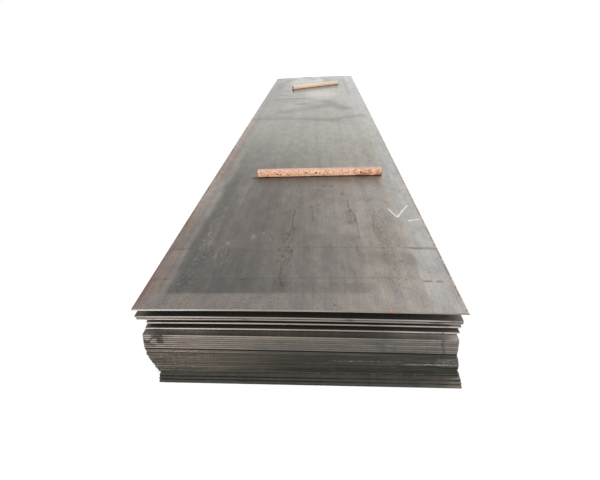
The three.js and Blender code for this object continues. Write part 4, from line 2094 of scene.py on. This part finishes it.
def standard_lots() -> List[PlateLot]:
    """The lots under the top plate, from the floor up.

    Returns:
        The lots.
    """
    ragged = {"wander": 1.0 * MM, "ragged": 6.0 * MM}
    bowed = {"end_bow": 2.2 * MM}
    more_bowed = {"end_bow": 3.2 * MM}
    # The edge tones hold painted light and shade as well as the edges' own colour: the lower lots are
    # painted darker, and the recessed lath bed lighter
    rows: Tuple[Tuple[str, int, int, EdgeTone, Dict[str, float]], ...] = (
        ("lowest", 1, 3, EdgeTone((46, 37, 16), (31, 27, 15), (70, 66, 48), 0.16), {}),
        ("leaning_low", 4, 7, EdgeTone((112, 105, 92), (37, 38, 32), (47, 53, 42), 0.16), ragged),
        ("leaning_mid", 8, 11, EdgeTone((101, 94, 86), (67, 65, 58), (61, 63, 55), 0.2), ragged),
        ("leaning_high", 12, 15, EdgeTone((107, 98, 88), (56, 53, 46), (47, 49, 45), 0.18), ragged),
        ("short", 16, 17, EdgeTone((152, 142, 128), (77, 75, 66), (62, 63, 58), 0.1), ragged),
        ("upper_low", 18, 20, EdgeTone((149, 138, 128), (107, 101, 94), (106, 104, 98), 0.12), {}),
        ("upper_high", 21, 24, EdgeTone((163, 151, 141), (126, 118, 108), (127, 124, 119), 0.12), {}),
        ("lath_bed", 25, 26, EdgeTone((227, 213, 200), (172, 159, 146), (196, 184, 179), 0.04), bowed),
        ("pair", 27, 28, EdgeTone((176, 165, 158), (142, 132, 123), (150, 143, 135), 0.06), more_bowed),
    )
    return [PlateLot(name, first, last, tone, **more) for name, first, last, tone, more in rows]


def loose_battens() -> List[Timber]:
    """The two battens that lie loose on the top plate.

    Returns:
        The near one and the far one.
    """
    near_knots = (
        Knot(0.162, 0.022, 0.011),
        Knot(0.191, 0.017, 0.009),
        Knot(0.392, 0.03, 0.011),
        Knot(0.455, 0.016, 0.008),
        Knot(0.472, 0.028, 0.012),
        Knot(0.527, 0.018, 0.008),
        Knot(0.82, 0.026, 0.011),
    )
    near = Timber(
        "loose_batten_near",
        seed=3.1,
        bow=1.0 * MM,
        corner=3.0 * MM,
        wear=2.2 * MM,
        wane=5.0 * MM,
        dirt=0.0,
        spacing=7 * MM,
        knots=near_knots,
        burr=(0.78, 0.985),
    )
    far = Timber(
        "loose_batten_far",
        seed=11.7,
        bow=-2.0 * MM,
        corner=3.0 * MM,
        wear=2.0 * MM,
        wane=4.0 * MM,
        dirt=0.0,
        pallor=0.85,
        spacing=7 * MM,
        knots=(Knot(0.79, 0.03, 0.016), Knot(0.31, 0.02, 0.011)),
    )
    return [near, far]


@dataclass
class Stack:
    """All the plates and timber, from the floor up."""

    gauge: float = 10 * MM
    crown: float = CROWN
    deck: str = "plate_29"
    first_seed: float = 20.0
    layer_step: float = 3.7
    end_step: float = 1.3
    lots: List[PlateLot] = field(default_factory=standard_lots)
    loose: List[Timber] = field(default_factory=loose_battens)

    def build(self) -> None:
        """Build and dress every piece."""
        face = MillScale().build()
        edge = ShearedEdge().build()
        plates = PlateShape()
        deck = Block.measure(self.deck, self.gauge)
        for lot in self.lots:
            lot.build(plates, (face, face, edge), self.gauge, self.crown)
        self._deck(deck, plates, edge)
        sticks = TimberShape()
        for timber in self._spacers(deck.width) + self.loose:
            stick = timber.build(sticks)
            LOG.info("timber %s: %d faces", stick.name, len(stick.data.polygons))

    def _deck(self, block: Block, shape: PlateShape, edge: Material) -> None:
        """The top plate, with a finish of its own.

        Args:
            block: The top plate's size and place.
            shape: The tree that plates are run from.
            edge: Material of the cut edges.
        """
        number = int(self.deck[-2:])
        tone = EdgeTone((206, 198, 192), (146, 134, 125), (125, 117, 111), 0.04)
        lot = PlateLot("deck", number, number, tone, end_bow=4.0 * MM, columns=61, rows=241)
        patches, trails = tuple(standard_patches()), tuple(standard_trails())
        stretches = {"near": (0.0, lot.far_from), "far": (lot.far_from, block.length)}
        faces = [
            DeckScale(f"deck_scale_{name}", stretch, block.pose, block.width, patches, trails).build()
            for name, stretch in stretches.items()
        ]
        lot.build(shape, (*faces, edge), self.gauge, self.crown)

    def _spacers(self, width: float) -> List[Timber]:
        """The laths and spacers between the upper plates, drooped to the plates' crown.

        Args:
            width: The plates' width.

        Returns:
            The laths and spacers.
        """
        layers = (("lath", 26), ("lower_spacer", 27), ("upper_spacer", 29))
        timbers = []
        for index, (kind, plate_above) in enumerate(layers):
            for end_index, end in enumerate(("near", "far")):
                node = f"{kind}_{end}"
                share = Block.measure(node).length / width
                droop = self.crown * (plate_above - 1) * share**2
                seed = self.first_seed + self.layer_step * index + self.end_step * end_index
                timbers.append(Timber(node, seed=seed, droop=droop))
        return timbers


def main() -> None:
    """Build the stack and the studio, and report what was made."""
    logging.basicConfig(level=logging.INFO, format="%(name)s: %(message)s")
    stack = Stack()
    stack.build()
    Studio().build(Block.measure(stack.deck, stack.gauge))


if __name__ == "__main__":
    main()
